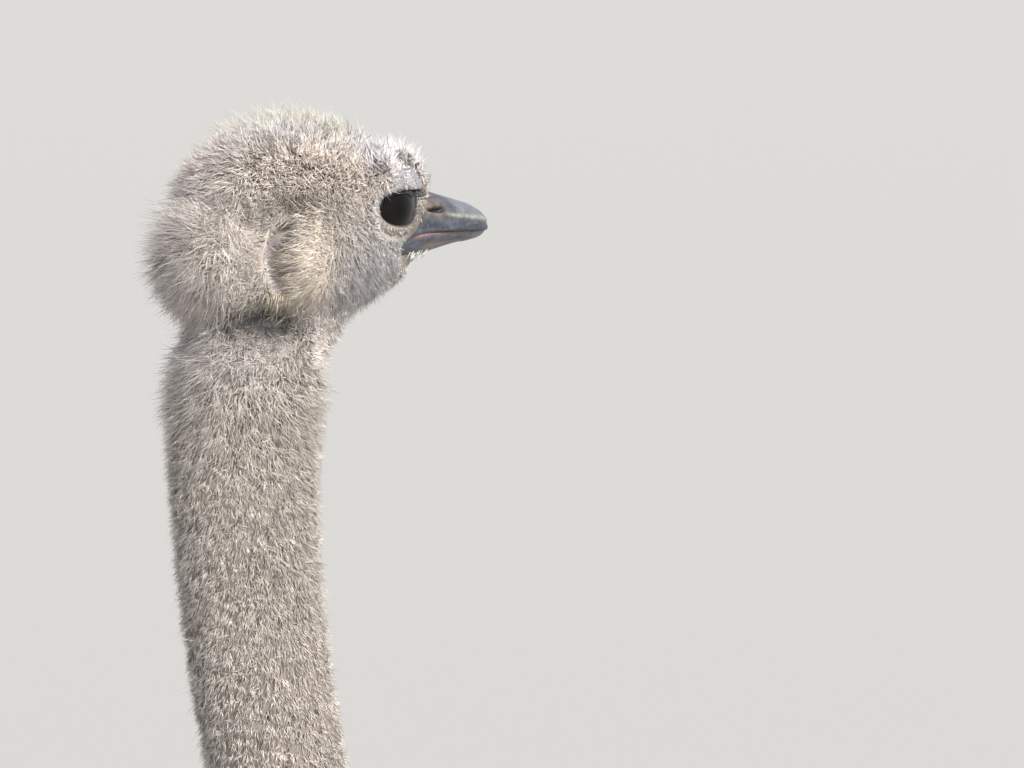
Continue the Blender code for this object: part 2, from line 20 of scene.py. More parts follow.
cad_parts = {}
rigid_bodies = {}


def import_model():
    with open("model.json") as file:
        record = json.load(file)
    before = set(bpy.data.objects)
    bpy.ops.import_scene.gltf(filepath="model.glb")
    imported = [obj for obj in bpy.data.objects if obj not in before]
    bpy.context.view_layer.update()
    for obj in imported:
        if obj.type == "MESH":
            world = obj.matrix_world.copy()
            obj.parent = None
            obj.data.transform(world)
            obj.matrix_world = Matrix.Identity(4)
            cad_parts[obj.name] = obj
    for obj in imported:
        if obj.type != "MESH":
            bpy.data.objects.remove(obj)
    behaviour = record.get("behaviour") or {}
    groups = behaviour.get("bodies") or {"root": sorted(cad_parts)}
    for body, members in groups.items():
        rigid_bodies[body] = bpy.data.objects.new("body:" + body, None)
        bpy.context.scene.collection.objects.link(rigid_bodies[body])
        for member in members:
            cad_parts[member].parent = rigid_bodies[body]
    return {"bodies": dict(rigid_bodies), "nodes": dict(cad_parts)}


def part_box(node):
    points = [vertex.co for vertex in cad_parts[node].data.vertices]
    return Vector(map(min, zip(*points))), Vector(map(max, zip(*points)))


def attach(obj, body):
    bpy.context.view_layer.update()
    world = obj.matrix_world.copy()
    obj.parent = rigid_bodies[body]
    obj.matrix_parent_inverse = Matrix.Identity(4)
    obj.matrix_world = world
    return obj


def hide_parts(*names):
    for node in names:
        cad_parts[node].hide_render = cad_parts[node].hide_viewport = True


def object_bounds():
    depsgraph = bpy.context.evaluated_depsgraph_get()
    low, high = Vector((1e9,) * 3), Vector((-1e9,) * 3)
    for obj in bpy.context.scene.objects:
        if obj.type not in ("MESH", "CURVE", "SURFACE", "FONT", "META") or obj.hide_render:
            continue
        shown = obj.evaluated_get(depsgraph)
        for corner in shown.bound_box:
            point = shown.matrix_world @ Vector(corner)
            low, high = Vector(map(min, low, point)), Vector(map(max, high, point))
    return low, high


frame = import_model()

nodes = frame["nodes"]
kept = set(nodes.values()) | set(frame["bodies"].values())
for obj in list(bpy.data.objects):
    if obj not in kept:  # the cube, lamp and camera that every new scene holds
        bpy.data.objects.remove(obj)
CAD_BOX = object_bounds()
print("solids:", len(nodes), "box:", [tuple(round(v, 3) for v in corner) for corner in CAD_BOX])

# %% [markdown]
# ## Measures
#
# Every place comes from the solids. The head is easiest to think about in centimetres from a point
# between the two eyes, with x along the bill, y to the bird's left and z up, so one function turns
# metres in the room into those centimetres, and another turns them back.

# %% The head's own centimetres
EYE = sum((corner for hand in ("left", "right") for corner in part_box(f"eye_{hand}")), Vector()) / 4
DRAWN_EYE_X = 0.565  # the solids were drawn with the eyes here, and then centred on the floor
SHIFT = np.array((EYE.x - DRAWN_EYE_X, 0.0, 0.0))
HEAD_PITCH = math.radians(3.0)  # the bill points this far below the level
CM = 0.01
MM = 0.001
HANDS = (("left", 1), ("right", -1))


def to_head(points):
    """Points in metres as centimetres from between the eyes, in the head's own directions."""
    d = (np.asarray(points, float) - np.array(EYE)) / CM
    c, s = math.cos(HEAD_PITCH), math.sin(HEAD_PITCH)
    return np.stack([d[..., 0] * c - d[..., 2] * s, d[..., 1], d[..., 0] * s + d[..., 2] * c], -1)


def from_head(points):
    """The way back: centimetres in the head to metres in the room."""
    d = np.asarray(points, float)
    c, s = math.cos(HEAD_PITCH), math.sin(HEAD_PITCH)
    turned = np.stack([d[..., 0] * c + d[..., 2] * s, d[..., 1], d[..., 2] * c - d[..., 0] * s], -1)
    return turned * CM + np.array(EYE)


def mirror(h):
    """Points of the head brought over to its left side, because both sides are alike."""
    return np.stack([h[:, 0], abs(h[:, 1]), h[:, 2]], -1)


HEAD_TURN = (from_head(np.eye(3)) - from_head(np.zeros(3))).T / CM  # head directions to the room's
print("between the eyes:", tuple(round(v, 4) for v in EYE))


# %% Small tools for numbers and colours
def ease(values, low, high):
    """0 below low, 1 above high, and a smooth rise between. With low over high it falls instead."""
    t = np.clip((np.asarray(values, float) - low) / (high - low), 0, 1)
    return t * t * (3 - 2 * t)


def bump(points, centre, radii):
    """1 at the centre of an ellipsoid, falling softly to 0 well outside it."""
    q = ((points - np.array(centre)) / np.array(radii)) ** 2
    return np.exp(-q.sum(-1))


def plateau(points, strength, *spots):
    """Bumps made stronger and cut off at 1, so that they are full over most of their ellipsoids."""
    return np.minimum(sum(strength * bump(points, *spot) for spot in spots), 1)


def unit(vectors):
    """The same directions, one long."""
    return vectors / np.maximum(np.linalg.norm(vectors, axis=-1, keepdims=True), 1e-9)


def colour(code):
    """An sRGB hex value as the linear colour that shaders use."""
    parts = [int(code[i : i + 2], 16) / 255 for i in (1, 3, 5)]
    return (*[p / 12.92 if p <= 0.04045 else ((p + 0.055) / 1.055) ** 2.4 for p in parts], 1.0)


MATH = "ShaderNodeMath"


def add(tree, kind, inputs=(), out=0, **settings):
    """Adds a node and gives back one of its outputs. An input is a value or a socket to link."""
    node = tree.nodes.new(kind)
    for name, value in settings.items():
        setattr(node, name, value)
    for name, value in dict(inputs).items():
        if isinstance(value, bpy.types.NodeSocket):
            tree.links.new(value, node.inputs[name])
        else:
            node.inputs[name].default_value = value
    return node.outputs[out] if len(node.outputs) else node


# %% [markdown]
# ## The skin
#
# A bird has one skin from bill to toe. A voxel remesh is the quickest way to get one closed surface
# from many solids: it fills the hairline gaps between them. One voxel size would be too coarse for
# the face or too heavy for the trunk, so head, body and feet are remeshed at three sizes and then
# united.

# %% Copies of the solids, ready to remesh
FLESH = ["head", *(f"neck_{i}" for i in range(1, 6)), "trunk"]
LIMBS = ["thigh", "shank", "toe_main", "toe_outer"]
FLESH += [f"{name}_{hand}" for name in ["wing", *LIMBS] for hand, _ in HANDS]
OVERLAP = 0.0004  # closes the gap between neighbouring solids
WELD = 1e-5  # corners of a solid's loose triangles that lie this close are one point


def own_object(name, bm):
    """An object of its own from an edited mesh."""
    mesh = bpy.data.meshes.new(name)
    bm.to_mesh(mesh)
    bm.free()
    obj = bpy.data.objects.new(name, mesh)
    bpy.context.scene.collection.objects.link(obj)
    return obj


def clear_side(bm, height, above):
    """Cuts a closed mesh level at a height, clears one side of it and closes the cut."""
    everything = bm.verts[:] + bm.edges[:] + bm.faces[:]
    side = {"clear_outer": True} if above else {"clear_inner": True}
    plane = {"plane_co": (0, 0, height), "plane_no": (0, 0, 1)}
    cut = bmesh.ops.bisect_plane(bm, geom=everything, **plane, **side)
    rim = [g for g in cut["geom_cut"] if isinstance(g, bmesh.types.BMEdge)]
    bmesh.ops.holes_fill(bm, edges=rim, sides=0)
    bmesh.ops.recalc_face_normals(bm, faces=bm.faces)


def flesh(name, parts, low=None, high=None, spread=OVERLAP, size=1.0):
    """One object from copies of these solids, between two heights, each scaled about its middle."""
    together = bmesh.new()
    for part in parts:
        bm = bmesh.new()
        bm.from_mesh(nodes[part].data)
        bmesh.ops.remove_doubles(bm, verts=bm.verts, dist=WELD)
        bm.normal_update()
        moves = [v.normal * spread for v in bm.verts]
        middle = sum(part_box(part), Vector()) / 2
        for v, move in zip(bm.verts, moves):
            v.co = middle + (v.co + move - middle) * size
        if high is not None:
            clear_side(bm, high, True)
        if low is not None:
            clear_side(bm, low, False)
        piece = bpy.data.meshes.new(part)
        bm.to_mesh(piece)
        bm.free()
        together.from_mesh(piece)
        bpy.data.meshes.remove(piece)
    return own_object(name, together)


def settle(obj):
    """Turns an object's modifiers into its own mesh."""
    graph = bpy.context.evaluated_depsgraph_get()
    mesh = bpy.data.meshes.new_from_object(obj.evaluated_get(graph))
    obj.modifiers.clear()
    obj.data = mesh
    return obj


def remeshed(obj, voxel, rounds):
    """One surface of even quads, with its creases softened."""
    modifier = obj.modifiers.new("one surface", "REMESH")
    modifier.mode = "VOXEL"
    modifier.voxel_size = voxel
    smooth = obj.modifiers.new("soften", "SMOOTH")
    smooth.factor = 0.5
    smooth.iterations = rounds
    return settle(obj)


def coordinates(mesh):
    """The places of its points, as one array."""
    out = np.empty(len(mesh.vertices) * 3)
    mesh.vertices.foreach_get("co", out)
    return out.reshape(-1, 3)


def vertex_normals(mesh):
    """The outward direction at each of its points."""
    out = np.empty(len(mesh.vertices) * 3, np.float32)
    mesh.vertex_normals.foreach_get("vector", out)
    return out.reshape(-1, 3).astype(float)


def move_points(obj, points):
    """Puts the points of an object at new places."""
    obj.data.vertices.foreach_set("co", np.asarray(points, np.float32).ravel())
    obj.data.update()


# %% [markdown]
# ### How deep the coat is
#
# The solids reach to the tips of the coat, so the skin lies under them by the coat's depth: under a
# millimetre round the eyes and bill, three millimetres on the neck, about a centimetre on the nape,
# and nearly three centimetres under the feathers of the body. Thighs, shanks and toes are bare.

# %% Coat depth over the whole bird
FACE_DEPTH, NECK_DEPTH, BODY_DEPTH, BARE_DEPTH = 0.0038, 0.0028, 0.028, 0.0006
CROWN_MORE, NAPE_MORE = 0.0030, 0.006  # what the coat gains there over its depth on the face
THIN_SHARE = 0.85  # how much of its depth it loses towards the bill and round the eyes
FEATHER_LINE = 1.345  # the neck's down ends here and black feathers begin
NECK_FRONT = 0.50  # behind this place, all that is as high as the feather line is the back


def coat_depth(points):
    """Depth of the coat in metres at points near the solids' surface."""
    h = to_head(points)
    flat = mirror(h)
    x, z = points[:, 0], points[:, 2]
    depth = np.full(len(points), NECK_DEPTH)
    on_head = ease(z, 2.05, 2.08)
    depth = depth + on_head * (FACE_DEPTH - NECK_DEPTH)
    depth = depth + on_head * CROWN_MORE * ease(h[:, 2], 0.8, 3.0) * ease(h[:, 0], 2.4, -1.5)
    depth = depth + NAPE_MORE * bump(flat, (-8.6, 1.0, -3.2), (3.2, 5.0, 2.6))
    depth = depth * (1 - THIN_SHARE * (ease(h[:, 0], 0.6, 3.2) * on_head))
    eye = plateau(flat, 1.4, ((0.2, 3.4, 0.1), (2.1, 2.0, 2.0)))
    depth = depth * (1 - THIN_SHARE * eye * on_head)
    low = ease(z, FEATHER_LINE + 0.03, FEATHER_LINE - 0.10)
    body = np.maximum(low, ease(x, NECK_FRONT, NECK_FRONT - 0.06))
    depth = depth + body * (BODY_DEPTH - depth)
    leg = ease(z, 0.90, 0.80)
    return depth + leg * (BARE_DEPTH - depth)


# %% The eye and its opening
# The eyeball is an ellipsoid. Its lids part along a curve that is flat on top and round below.
BALL_MIDDLE = 1.80  # from the middle of the head to the middle of the ball
BALL_OUT, BALL_ROUND = 1.62, 1.90  # its radii, across the head and round
LID_CENTRE = np.array((0.05, -0.03))
LID_FRONT, LID_REAR, LID_TOP, LID_BOTTOM = 1.38, 1.24, 0.69, 0.82
CREASE_FRONT, CREASE_REAR, CREASE_BELOW = 1.45, 0.30, 0.42  # from lids' edges to their creases


def lid_curve(angle):
    """Distance from the middle of the opening to its edge, and on from there to the crease."""
    c, s = np.cos(angle), np.sin(angle)
    across = np.where(c > 0, LID_FRONT, LID_REAR)
    up = np.where(s > 0, LID_TOP, LID_BOTTOM)
    power = np.where(s > 0, 2.9, 2.2)
    edge = (abs(c / across) ** power + abs(s / up) ** power) ** (-1 / power)
    above = ease(s, 0.0, 0.5)
    crease = CREASE_BELOW + above * (CREASE_REAR - CREASE_BELOW)
    crease = crease + above * ease(c, -0.9, 0.5) * (CREASE_FRONT - CREASE_REAR)
    return edge, crease


def from_opening(h):
    """How far points of the head lie outside the eye's opening, and where the crease is there."""
    d = h[:, (0, 2)] - LID_CENTRE
    edge, crease = lid_curve(np.arctan2(d[:, 1], d[:, 0]))
    return np.hypot(d[:, 0], d[:, 1]) - edge, crease


def lid_place(h):
    """The same distance as a share of the way to the crease, which is at 1."""
    gap, crease = from_opening(h)
    return gap / crease


def crease_line(h, half_width):
    """1 on the crease of the lids, falling to 0 at about this many centimetres from it."""
    gap, crease = from_opening(h)
    near = np.exp(-(((gap - 1.02 * crease) / half_width) ** 2))
    return near * ease(h[:, 2], -0.5, 0.3) * ease(h[:, 0], 1.0, 0.3)


def ball_surface(x, z):
    """How far out the eyeball's surface is at a place on the side of the head."""
    r = np.minimum(np.hypot(x, z) / BALL_ROUND, 0.93)
    return BALL_MIDDLE + BALL_OUT * np.sqrt(1 - r * r)


# %% Head and throat, body, and lower legs, each at its own voxel size
NECK_JOIN, HOCK_JOIN, JOIN_LAP = 1.885, 0.560, 0.035  # heights of the joins, and their overlap
HEAD_VOXEL, BODY_VOXEL, LEG_VOXEL = 0.0018, 0.010, 0.0039
EYES = [f"eye_{hand}" for hand, _ in HANDS]


def inset(obj, extra=0.0):
    """Moves a surface in by the depth of the coat."""
    points = coordinates(obj.data)
    depth = coat_depth(points) + extra
    move_points(obj, points - vertex_normals(obj.data) * depth[:, None])


def joined(obj, *others):
    """Several meshes as one object's mesh."""
    bm = bmesh.new()
    for part in (obj, *others):
        bm.from_mesh(part.data)
    bm.to_mesh(obj.data)
    bm.free()
    for other in others:
        bpy.data.objects.remove(other)
    return obj


head_names = ["head", *EYES, "bill_upper", "bill_lower", "neck_1"]
head_part = remeshed(flesh("skin", head_names, spread=0.0006), HEAD_VOXEL, 45)
inset(head_part)
head_part = remeshed(head_part, HEAD_VOXEL, 8)
# A wing's arm and hand are a thin core inside its feathers, so its solid is scaled down instead.
WING_CORE = 0.72
wings = flesh("wing cores", [f"wing_{hand}" for hand, _ in HANDS], size=WING_CORE)
body_names = [n for n in FLESH if n != "head" and not n.startswith(("toe", "wing"))]
body_part = flesh("skin body", body_names, HOCK_JOIN, NECK_JOIN + JOIN_LAP)
body_part = remeshed(body_part, BODY_VOXEL, 10)
height = coordinates(body_part.data)[:, 2]
# Its coarser steps shrink it, so it is brought out flush with the head's skin and the legs'.
flush = 0.0005 - 0.0029 * ease(height, 1.66, 1.86) - 0.0024 * ease(height, 0.72, 0.60)
inset(body_part, flush)
body_part = remeshed(joined(body_part, wings), BODY_VOXEL, 8)
leg_names = [name for name in FLESH if name.startswith(("shank", "toe", "thigh"))]
leg_part = remeshed(flesh("skin legs", leg_names, None, HOCK_JOIN + JOIN_LAP), LEG_VOXEL, 6)
inset(leg_part)

# %% [markdown]
# ### Sculpting the face
#
# The bill and the eyes come through the skin, so it gives way to them: points of the skin that
# would lie over the eyeball or the horn are pushed in under it. The temple has a shallow dent, and
# the ear a deep one. The bill's outline is needed for that, so its tables come first.

# %% Outlines of the bill as (x, top, bottom, half width), in the head's centimetres
UPPER_BILL = (
    (0.25, -1.84, -2.06, 2.78),
    (0.60, -1.48, -1.86, 2.88),
    (1.10, -1.14, -1.50, 2.86),
    (1.70, -0.82, -1.32, 2.76),
    (2.50, -0.28, -1.25, 2.60),
    (3.30, 0.34, -1.21, 2.46),
    (4.20, 0.62, -1.21, 2.32),
    (5.10, 0.47, -1.23, 2.19),
    (5.90, 0.26, -1.24, 2.05),
    (6.70, 0.10, -1.24, 1.91),
    (7.40, -0.08, -1.24, 1.76),
    (8.00, -0.28, -1.25, 1.52),
    (8.45, -0.50, -1.26, 1.22),
    (8.75, -0.72, -1.26, 0.86),
    (8.94, -0.94, -1.22, 0.42),
)
LOWER_BILL = (
    (0.15, -2.12, -2.44, 2.70),
    (0.60, -1.92, -2.62, 2.84),
    (1.20, -1.53, -2.76, 2.80),
    (2.00, -1.36, -2.80, 2.68),
    (3.00, -1.29, -2.70, 2.46),
    (4.20, -1.28, -2.42, 2.16),
    (5.90, -1.30, -2.10, 1.85),
    (7.40, -1.30, -1.90, 1.58),
    (8.15, -1.31, -1.80, 1.26),
    (8.58, -1.33, -1.70, 0.86),
    (8.76, -1.36, -1.58, 0.42),
)
UNDER_HORN = 0.16  # how far the skin lies inside the horn and the eyeball
HORN_POWER = 2.3  # roundness of the bill's sections: 2 would be an ellipse
NOSTRIL = np.array((3.90, 2.00, -0.22))


def mouth_line(x):
    """Height of the lower bill's flat top, on which the upper bill closes."""
    return np.interp(x, *np.array(LOWER_BILL).T[[0, 1]])


def bill_limits(x):
    """Top, bottom and half width of the whole bill at a place along it."""
    upper, lower = np.array(UPPER_BILL).T, np.array(LOWER_BILL).T
    top = np.interp(x, upper[0], upper[1])
    bottom = np.interp(x, lower[0], lower[2])
    return top, bottom, np.interp(x, upper[0], upper[3])


# %% The face gives way to eye, bill and ear
EAR_X, EAR_Z, EAR_BEND = -7.15, -2.10, 0.17
SLOT_DEPTH, SLOT_WIDE = 0.70, 0.56
RIM_BACK, RIM_HIGH, RIM_WIDE = 0.72, 0.12, 0.22
EAR_HOLLOW = (-6.9, 2.6, -4.85)
DENTS = (
    # (depth, middle, radii)
    (0.70, EAR_HOLLOW, (1.9, 3.0, 0.95)),
    (0.15, (-6.2, 3.5, 0.4), (1.2, 3.0, 0.35)),  # the recess over the ear's pad
    (0.16, (-2.6, 3.5, 0.0), (1.2, 3.0, 1.3)),  # the temple
)


def by_ear(flat):
    """How far points lie ahead of the ear's bent middle line, and how far over its middle."""
    rise = flat[:, 2] - EAR_Z
    return flat[:, 0] - EAR_X - EAR_BEND * rise**2, rise


def ear_slot(flat, wide):
    """The ear's opening: a crescent that bends forward at both ends. It is 1 in its middle line."""
    along, rise = by_ear(flat)
    slot = np.exp(-((along / wide) ** 4))
    return slot * ease(abs(rise), 1.75, 1.15) * ease(flat[:, 1], 1.0, 2.0)


def ear_rim(flat, wide):
    """The thin bare rim behind the ear's opening."""
    along, rise = by_ear(flat)
    rim = np.exp(-(((along + RIM_BACK) / wide) ** 2))
    return rim * ease(abs(rise), 2.2, 1.5) * ease(flat[:, 1], 1.0, 2.0)


def clear_eye_and_ear(h, height):
    """Sinks the skin under the eyeball, and opens the ear and the dents of the cheek."""
    out, side = abs(h[:, 1]), np.sign(h[:, 1])
    near = ease(out, 1.0, 1.6) * ease(height, EYE.z - 0.040, EYE.z - 0.030)
    under = ball_surface(h[:, 0], h[:, 2]) - UNDER_HORN
    sunk = out + near * ease(lid_place(h), 1.75, 1.40) * (np.minimum(out, under) - out)
    flat = mirror(h)
    sunk = sunk - SLOT_DEPTH * ear_slot(flat, SLOT_WIDE) + RIM_HIGH * ear_rim(flat, RIM_WIDE)
    for depth, middle, radii in DENTS:
        sunk = sunk - depth * bump(flat, middle, radii)
    h[:, 1] = side * np.where(out > 0.8, sunk, out)


def clear_bill(h):
    """Squeezes the skin in under the horn of the bill, and opens the nostrils."""
    top, bottom, wide = bill_limits(h[:, 0])
    inside = ease(h[:, 0], 0.5, 0.9) * ease(h[:, 2], top + 0.22, top - 0.02)
    inside = inside * ease(h[:, 2], bottom - 0.22, bottom + 0.02)
    limit = (wide - UNDER_HORN) * np.clip(1 - ((h[:, 0] - 4.0) / 5.0) ** 2, 0.1, 1) ** 0.5
    h[:, 1] = h[:, 1] + inside * (np.clip(h[:, 1], -limit, limit) - h[:, 1])
    mouth = mouth_line(h[:, 0])
    rise = h[:, 2] - mouth
    high = np.where(rise > 0, top - mouth, mouth - bottom) - UNDER_HORN
    across, up = abs(h[:, 1]) / (wide - UNDER_HORN), abs(rise) / np.maximum(high, 0.1)
    reach = (across**HORN_POWER + up**HORN_POWER) ** (1 / HORN_POWER)
    start = np.where(rise > 0, 2.9, 1.7)
    squeeze = 1 + ease(h[:, 0], start, start + 0.8) * (1 / np.maximum(reach, 1) - 1)
    nostril = bump(mirror(h), NOSTRIL, (0.9, 2.0, 0.45))
    h[:, 1] = h[:, 1] * squeeze * (1 - 0.35 * nostril)
    h[:, 2] = mouth + rise * squeeze
    low, high = bottom + UNDER_HORN, top - UNDER_HORN
    within = np.clip(h[:, 2], np.minimum(low, high), high)
    h[:, 2] = np.where(h[:, 0] > 3.6, within, h[:, 2])
    h[:, 0] = np.minimum(h[:, 0], 8.2)


def sculpt_face(obj):
    """Moves the skin of the head out of the way of eyes, ears and bill."""
    points = coordinates(obj.data)
    h = to_head(points)
    clear_eye_and_ear(h, points[:, 2])
    clear_bill(h)
    move_points(obj, from_head(h))


face_before = BVHTree.FromObject(head_part, bpy.context.evaluated_depsgraph_get())
sculpt_face(head_part)

# %% [markdown]
# ### Lids
#
# A lid is a fold of skin that follows the eyeball, ends in a rounded edge and has a crease behind
# it. That is a strip with a regular grid: one way round the opening, the other from the edge out
# over the crease, until it dives under the skin of the face. The nearest place of the face tells
# how far out its far side lies.

# %% Lids as a grid of points round each eye
LID_STEPS = (
    # (share of the way to the crease, height in mm above the eye, and below it)
    (-0.16, -0.5, -0.5),
    (-0.07, 0.2, 0.2),
    (-0.01, 0.75, 0.7),
    (0.05, 1.25, 1.1),
    (0.14, 1.6, 1.4),
    (0.32, 1.9, 1.5),
    (0.55, 2.0, 1.4),
    (0.78, 1.9, 1.2),
    (0.92, 1.4, 0.9),
    (1.00, 0.5, 0.5),
    (1.06, 0.9, 0.7),
    (1.16, 1.7, 0.9),
    (1.35, 1.9, 0.8),
    (1.65, 1.0, 0.4),
    (2.00, -1.4, -1.4),
)
LID_COUNT = 96


def grid_faces(rows, columns):
    """Quads between the points of a grid, which closes round its columns."""
    r, c = np.meshgrid(np.arange(rows - 1), np.arange(columns), indexing="ij")
    n = (c + 1) % columns
    this, following = r * columns, (r + 1) * columns
    return np.stack([this + c, this + n, following + n, following + c], -1).reshape(-1, 4)


def mesh_object(name, points, faces):
    """An object from points and the corners of its faces."""
    mesh = bpy.data.meshes.new(name)
    faces = [tuple(int(i) for i in face) for face in faces]
    mesh.from_pydata([tuple(p) for p in points], [], faces)
    obj = bpy.data.objects.new(name, mesh)
    bpy.context.scene.collection.objects.link(obj)
    return obj


def lids(side):
    """The lids of one eye, whose far edge lies under the face."""
    angles = np.linspace(0, 2 * math.pi, LID_COUNT, endpoint=False)
    edge, crease = lid_curve(angles)
    above = ease(np.sin(angles), -0.2, 0.4)
    points = []
    for share, high, low in LID_STEPS:
        reach = edge + crease * share
        x = LID_CENTRE[0] + reach * np.cos(angles)
        z = LID_CENTRE[1] + reach * np.sin(angles)
        height = (low + (high - low) * above) * MM
        ball = np.stack([x, side * ball_surface(x, z), z], -1)
        outward = unit(ball - (0, side * BALL_MIDDLE, 0)) @ HEAD_TURN.T
        ball = from_head(ball) + outward * height[:, None]
        near = [face_before.find_nearest(Vector(p))[:2] for p in ball]
        face = np.array([place + normal * h for (place, normal), h in zip(near, height)])
        points.append(ball + (face - ball) * ease(share, 0.8, 1.5))
    return np.concatenate(points), grid_faces(len(LID_STEPS), LID_COUNT)


lid_parts = []
for hand, side in HANDS:
    points, faces = lids(side)
    if side < 0:
        faces = faces[:, ::-1]
    lid_parts.append(mesh_object(f"lids {hand}", points, faces))
for part in (head_part, body_part, leg_part):
    points = coordinates(part.data)
    print(part.name, len(points), "points", points.min(0).round(3), points.max(0).round(3))

# %% [markdown]
# ## The eyes
#
# An ostrich's eye is the largest of any land animal's. It is an ellipsoid of dark brown iris behind
# a wet clear cornea, which a clear coat on the shader stands for.

# %% Eyeballs
BALL_ROWS, BALL_COLUMNS = 32, 48
for hand, side in HANDS:
    polar = np.linspace(0.02, math.pi - 0.02, BALL_ROWS)[:, None]
    turn = np.linspace(0, 2 * math.pi, BALL_COLUMNS, endpoint=False)[None, :]
    cornea = 0.07 * np.exp(-((polar / 0.5) ** 2))
    x = BALL_ROUND * np.sin(polar) * np.cos(turn)
    z = BALL_ROUND * np.sin(polar) * np.sin(turn)
    y = BALL_MIDDLE + (BALL_OUT + cornea) * np.cos(polar) + 0 * turn
    grid = from_head(np.stack([x, side * y, z], -1).reshape(-1, 3))
    faces = [tuple(f) for f in grid_faces(BALL_ROWS, BALL_COLUMNS)]
    last_row = (BALL_ROWS - 1) * BALL_COLUMNS
    faces += [tuple(range(BALL_COLUMNS))[::-1], tuple(range(last_row, len(grid)))]
    if side > 0:
        faces = [f[::-1] for f in faces]
    ball = mesh_object(f"eyeball_{hand}", grid, faces)
    ball.data.shade_smooth()
    print(ball.name, len(ball.data.polygons), "faces")

# %% [markdown]
# ## The bill
#
# An ostrich's bill is broad, flat and soft-edged. A horny plate covers the top and ends in a nail
# at the tip, a smooth band of slate-coloured skin runs along the sides and back to the corner of
# the mouth, and the nostrils are slots near its base. Both halves are lofts of rounded sections on
# a fine regular grid, and each feature is a small move of that grid along its normals.

# %% A loft of half-round sections
def curve_rows(rows, count):
    """Rows read evenly from a smooth curve through the given ones."""
    rows = np.array(rows, float)
    padded = np.vstack([2 * rows[0] - rows[1], rows, 2 * rows[-1] - rows[-2]])
    place = np.linspace(0, len(rows) - 1, count)
    i = np.minimum(place.astype(int), len(rows) - 2)
    t = (place - i)[:, None]
    a, b, c, d = (padded[i + k] for k in range(4))
    square, cube = (2 * a - 5 * b + 4 * c - d) * t**2, (3 * b - a - 3 * c + d) * t**3
    return 0.5 * (2 * b + (c - a) * t + square + cube)


ARC, FLOOR = 72, 24  # points over the curved side of a section, and along its flat side


def half_sections(rows, count, power, downward):
    """Grid of points: each section is an arch over a flat side that lies along the mouth."""
    grid = []
    for x, top, bottom, wide in curve_rows(rows, count):
        angle = np.linspace(0, math.pi, ARC)
        across = np.sign(np.cos(angle)) * abs(np.cos(angle)) ** (2 / power) * wide
        rise = np.sin(angle) ** (2 / power) * (top - bottom)
        flat = np.linspace(-1, 1, FLOOR + 2)[1:-1] * wide
        if downward:
            level, rise = top, -rise
        else:
            level = bottom
        inner = 0.05 * (1 if not downward else -1) * (1 - (flat / wide) ** 4)
        y = np.concatenate([across, flat])
        z = np.concatenate([level + rise, level + inner])
        grid.append(np.stack([np.full(len(y), x), y, z], -1))
    return np.array(grid)


def grid_normals(grid):
    """Outward directions of a closed loft, from its neighbouring points."""
    along = np.gradient(grid, axis=0)
    around = np.roll(grid, -1, 1) - np.roll(grid, 1, 1)
    n = unit(np.cross(around, along))
    middle = grid.mean(1, keepdims=True)
    return n * np.sign(((grid - middle) * n).sum(-1).mean())


def closed_loft(name, grid):
    """A mesh from a loft's grid, with a fan at each end."""
    rows, columns = grid.shape[:2]
    points = np.concatenate([grid.reshape(-1, 3), grid[0].mean(0)[None], grid[-1].mean(0)[None]])
    faces = [tuple(f) for f in grid_faces(rows, columns)]
    n = rows * columns
    for k in range(columns):
        faces.append((n, (k + 1) % columns, k))
        last = (rows - 1) * columns
        faces.append((n + 1, last + k, last + (k + 1) % columns))
    obj = mesh_object(name, from_head(points), faces)
    bm = bmesh.new()
    bm.from_mesh(obj.data)
    bmesh.ops.recalc_face_normals(bm, faces=bm.faces)
    bm.to_mesh(obj.data)
    bm.free()
    obj.data.shade_smooth()
    return obj


def paint(obj, name, values):
    """Stores one number at each point, for a material to read."""
    layer = obj.data.attributes.new(name, "FLOAT", "POINT")
    values = np.resize(np.asarray(values, np.float32).ravel(), len(obj.data.vertices))
    layer.data.foreach_set("value", values)


def paint_colour(obj, name, values):
    """Stores a linear colour at each point."""
    layer = obj.data.attributes.new(name, "FLOAT_COLOR", "POINT")
    rows = np.concatenate([values, np.ones((len(values), 1))], 1)
    layer.data.foreach_set("color", rows.astype(np.float32).ravel())


# %% Upper and lower bill
BILL_ROWS = 120


def shoulder(x):
    """Height of the line between the top plate and the smooth band on the side."""
    return np.interp(x, (2.6, 4.0, 6.0, 7.6, 8.6, 9.0), (-0.35, -0.42, -0.62, -0.78, -0.98, -1.1))


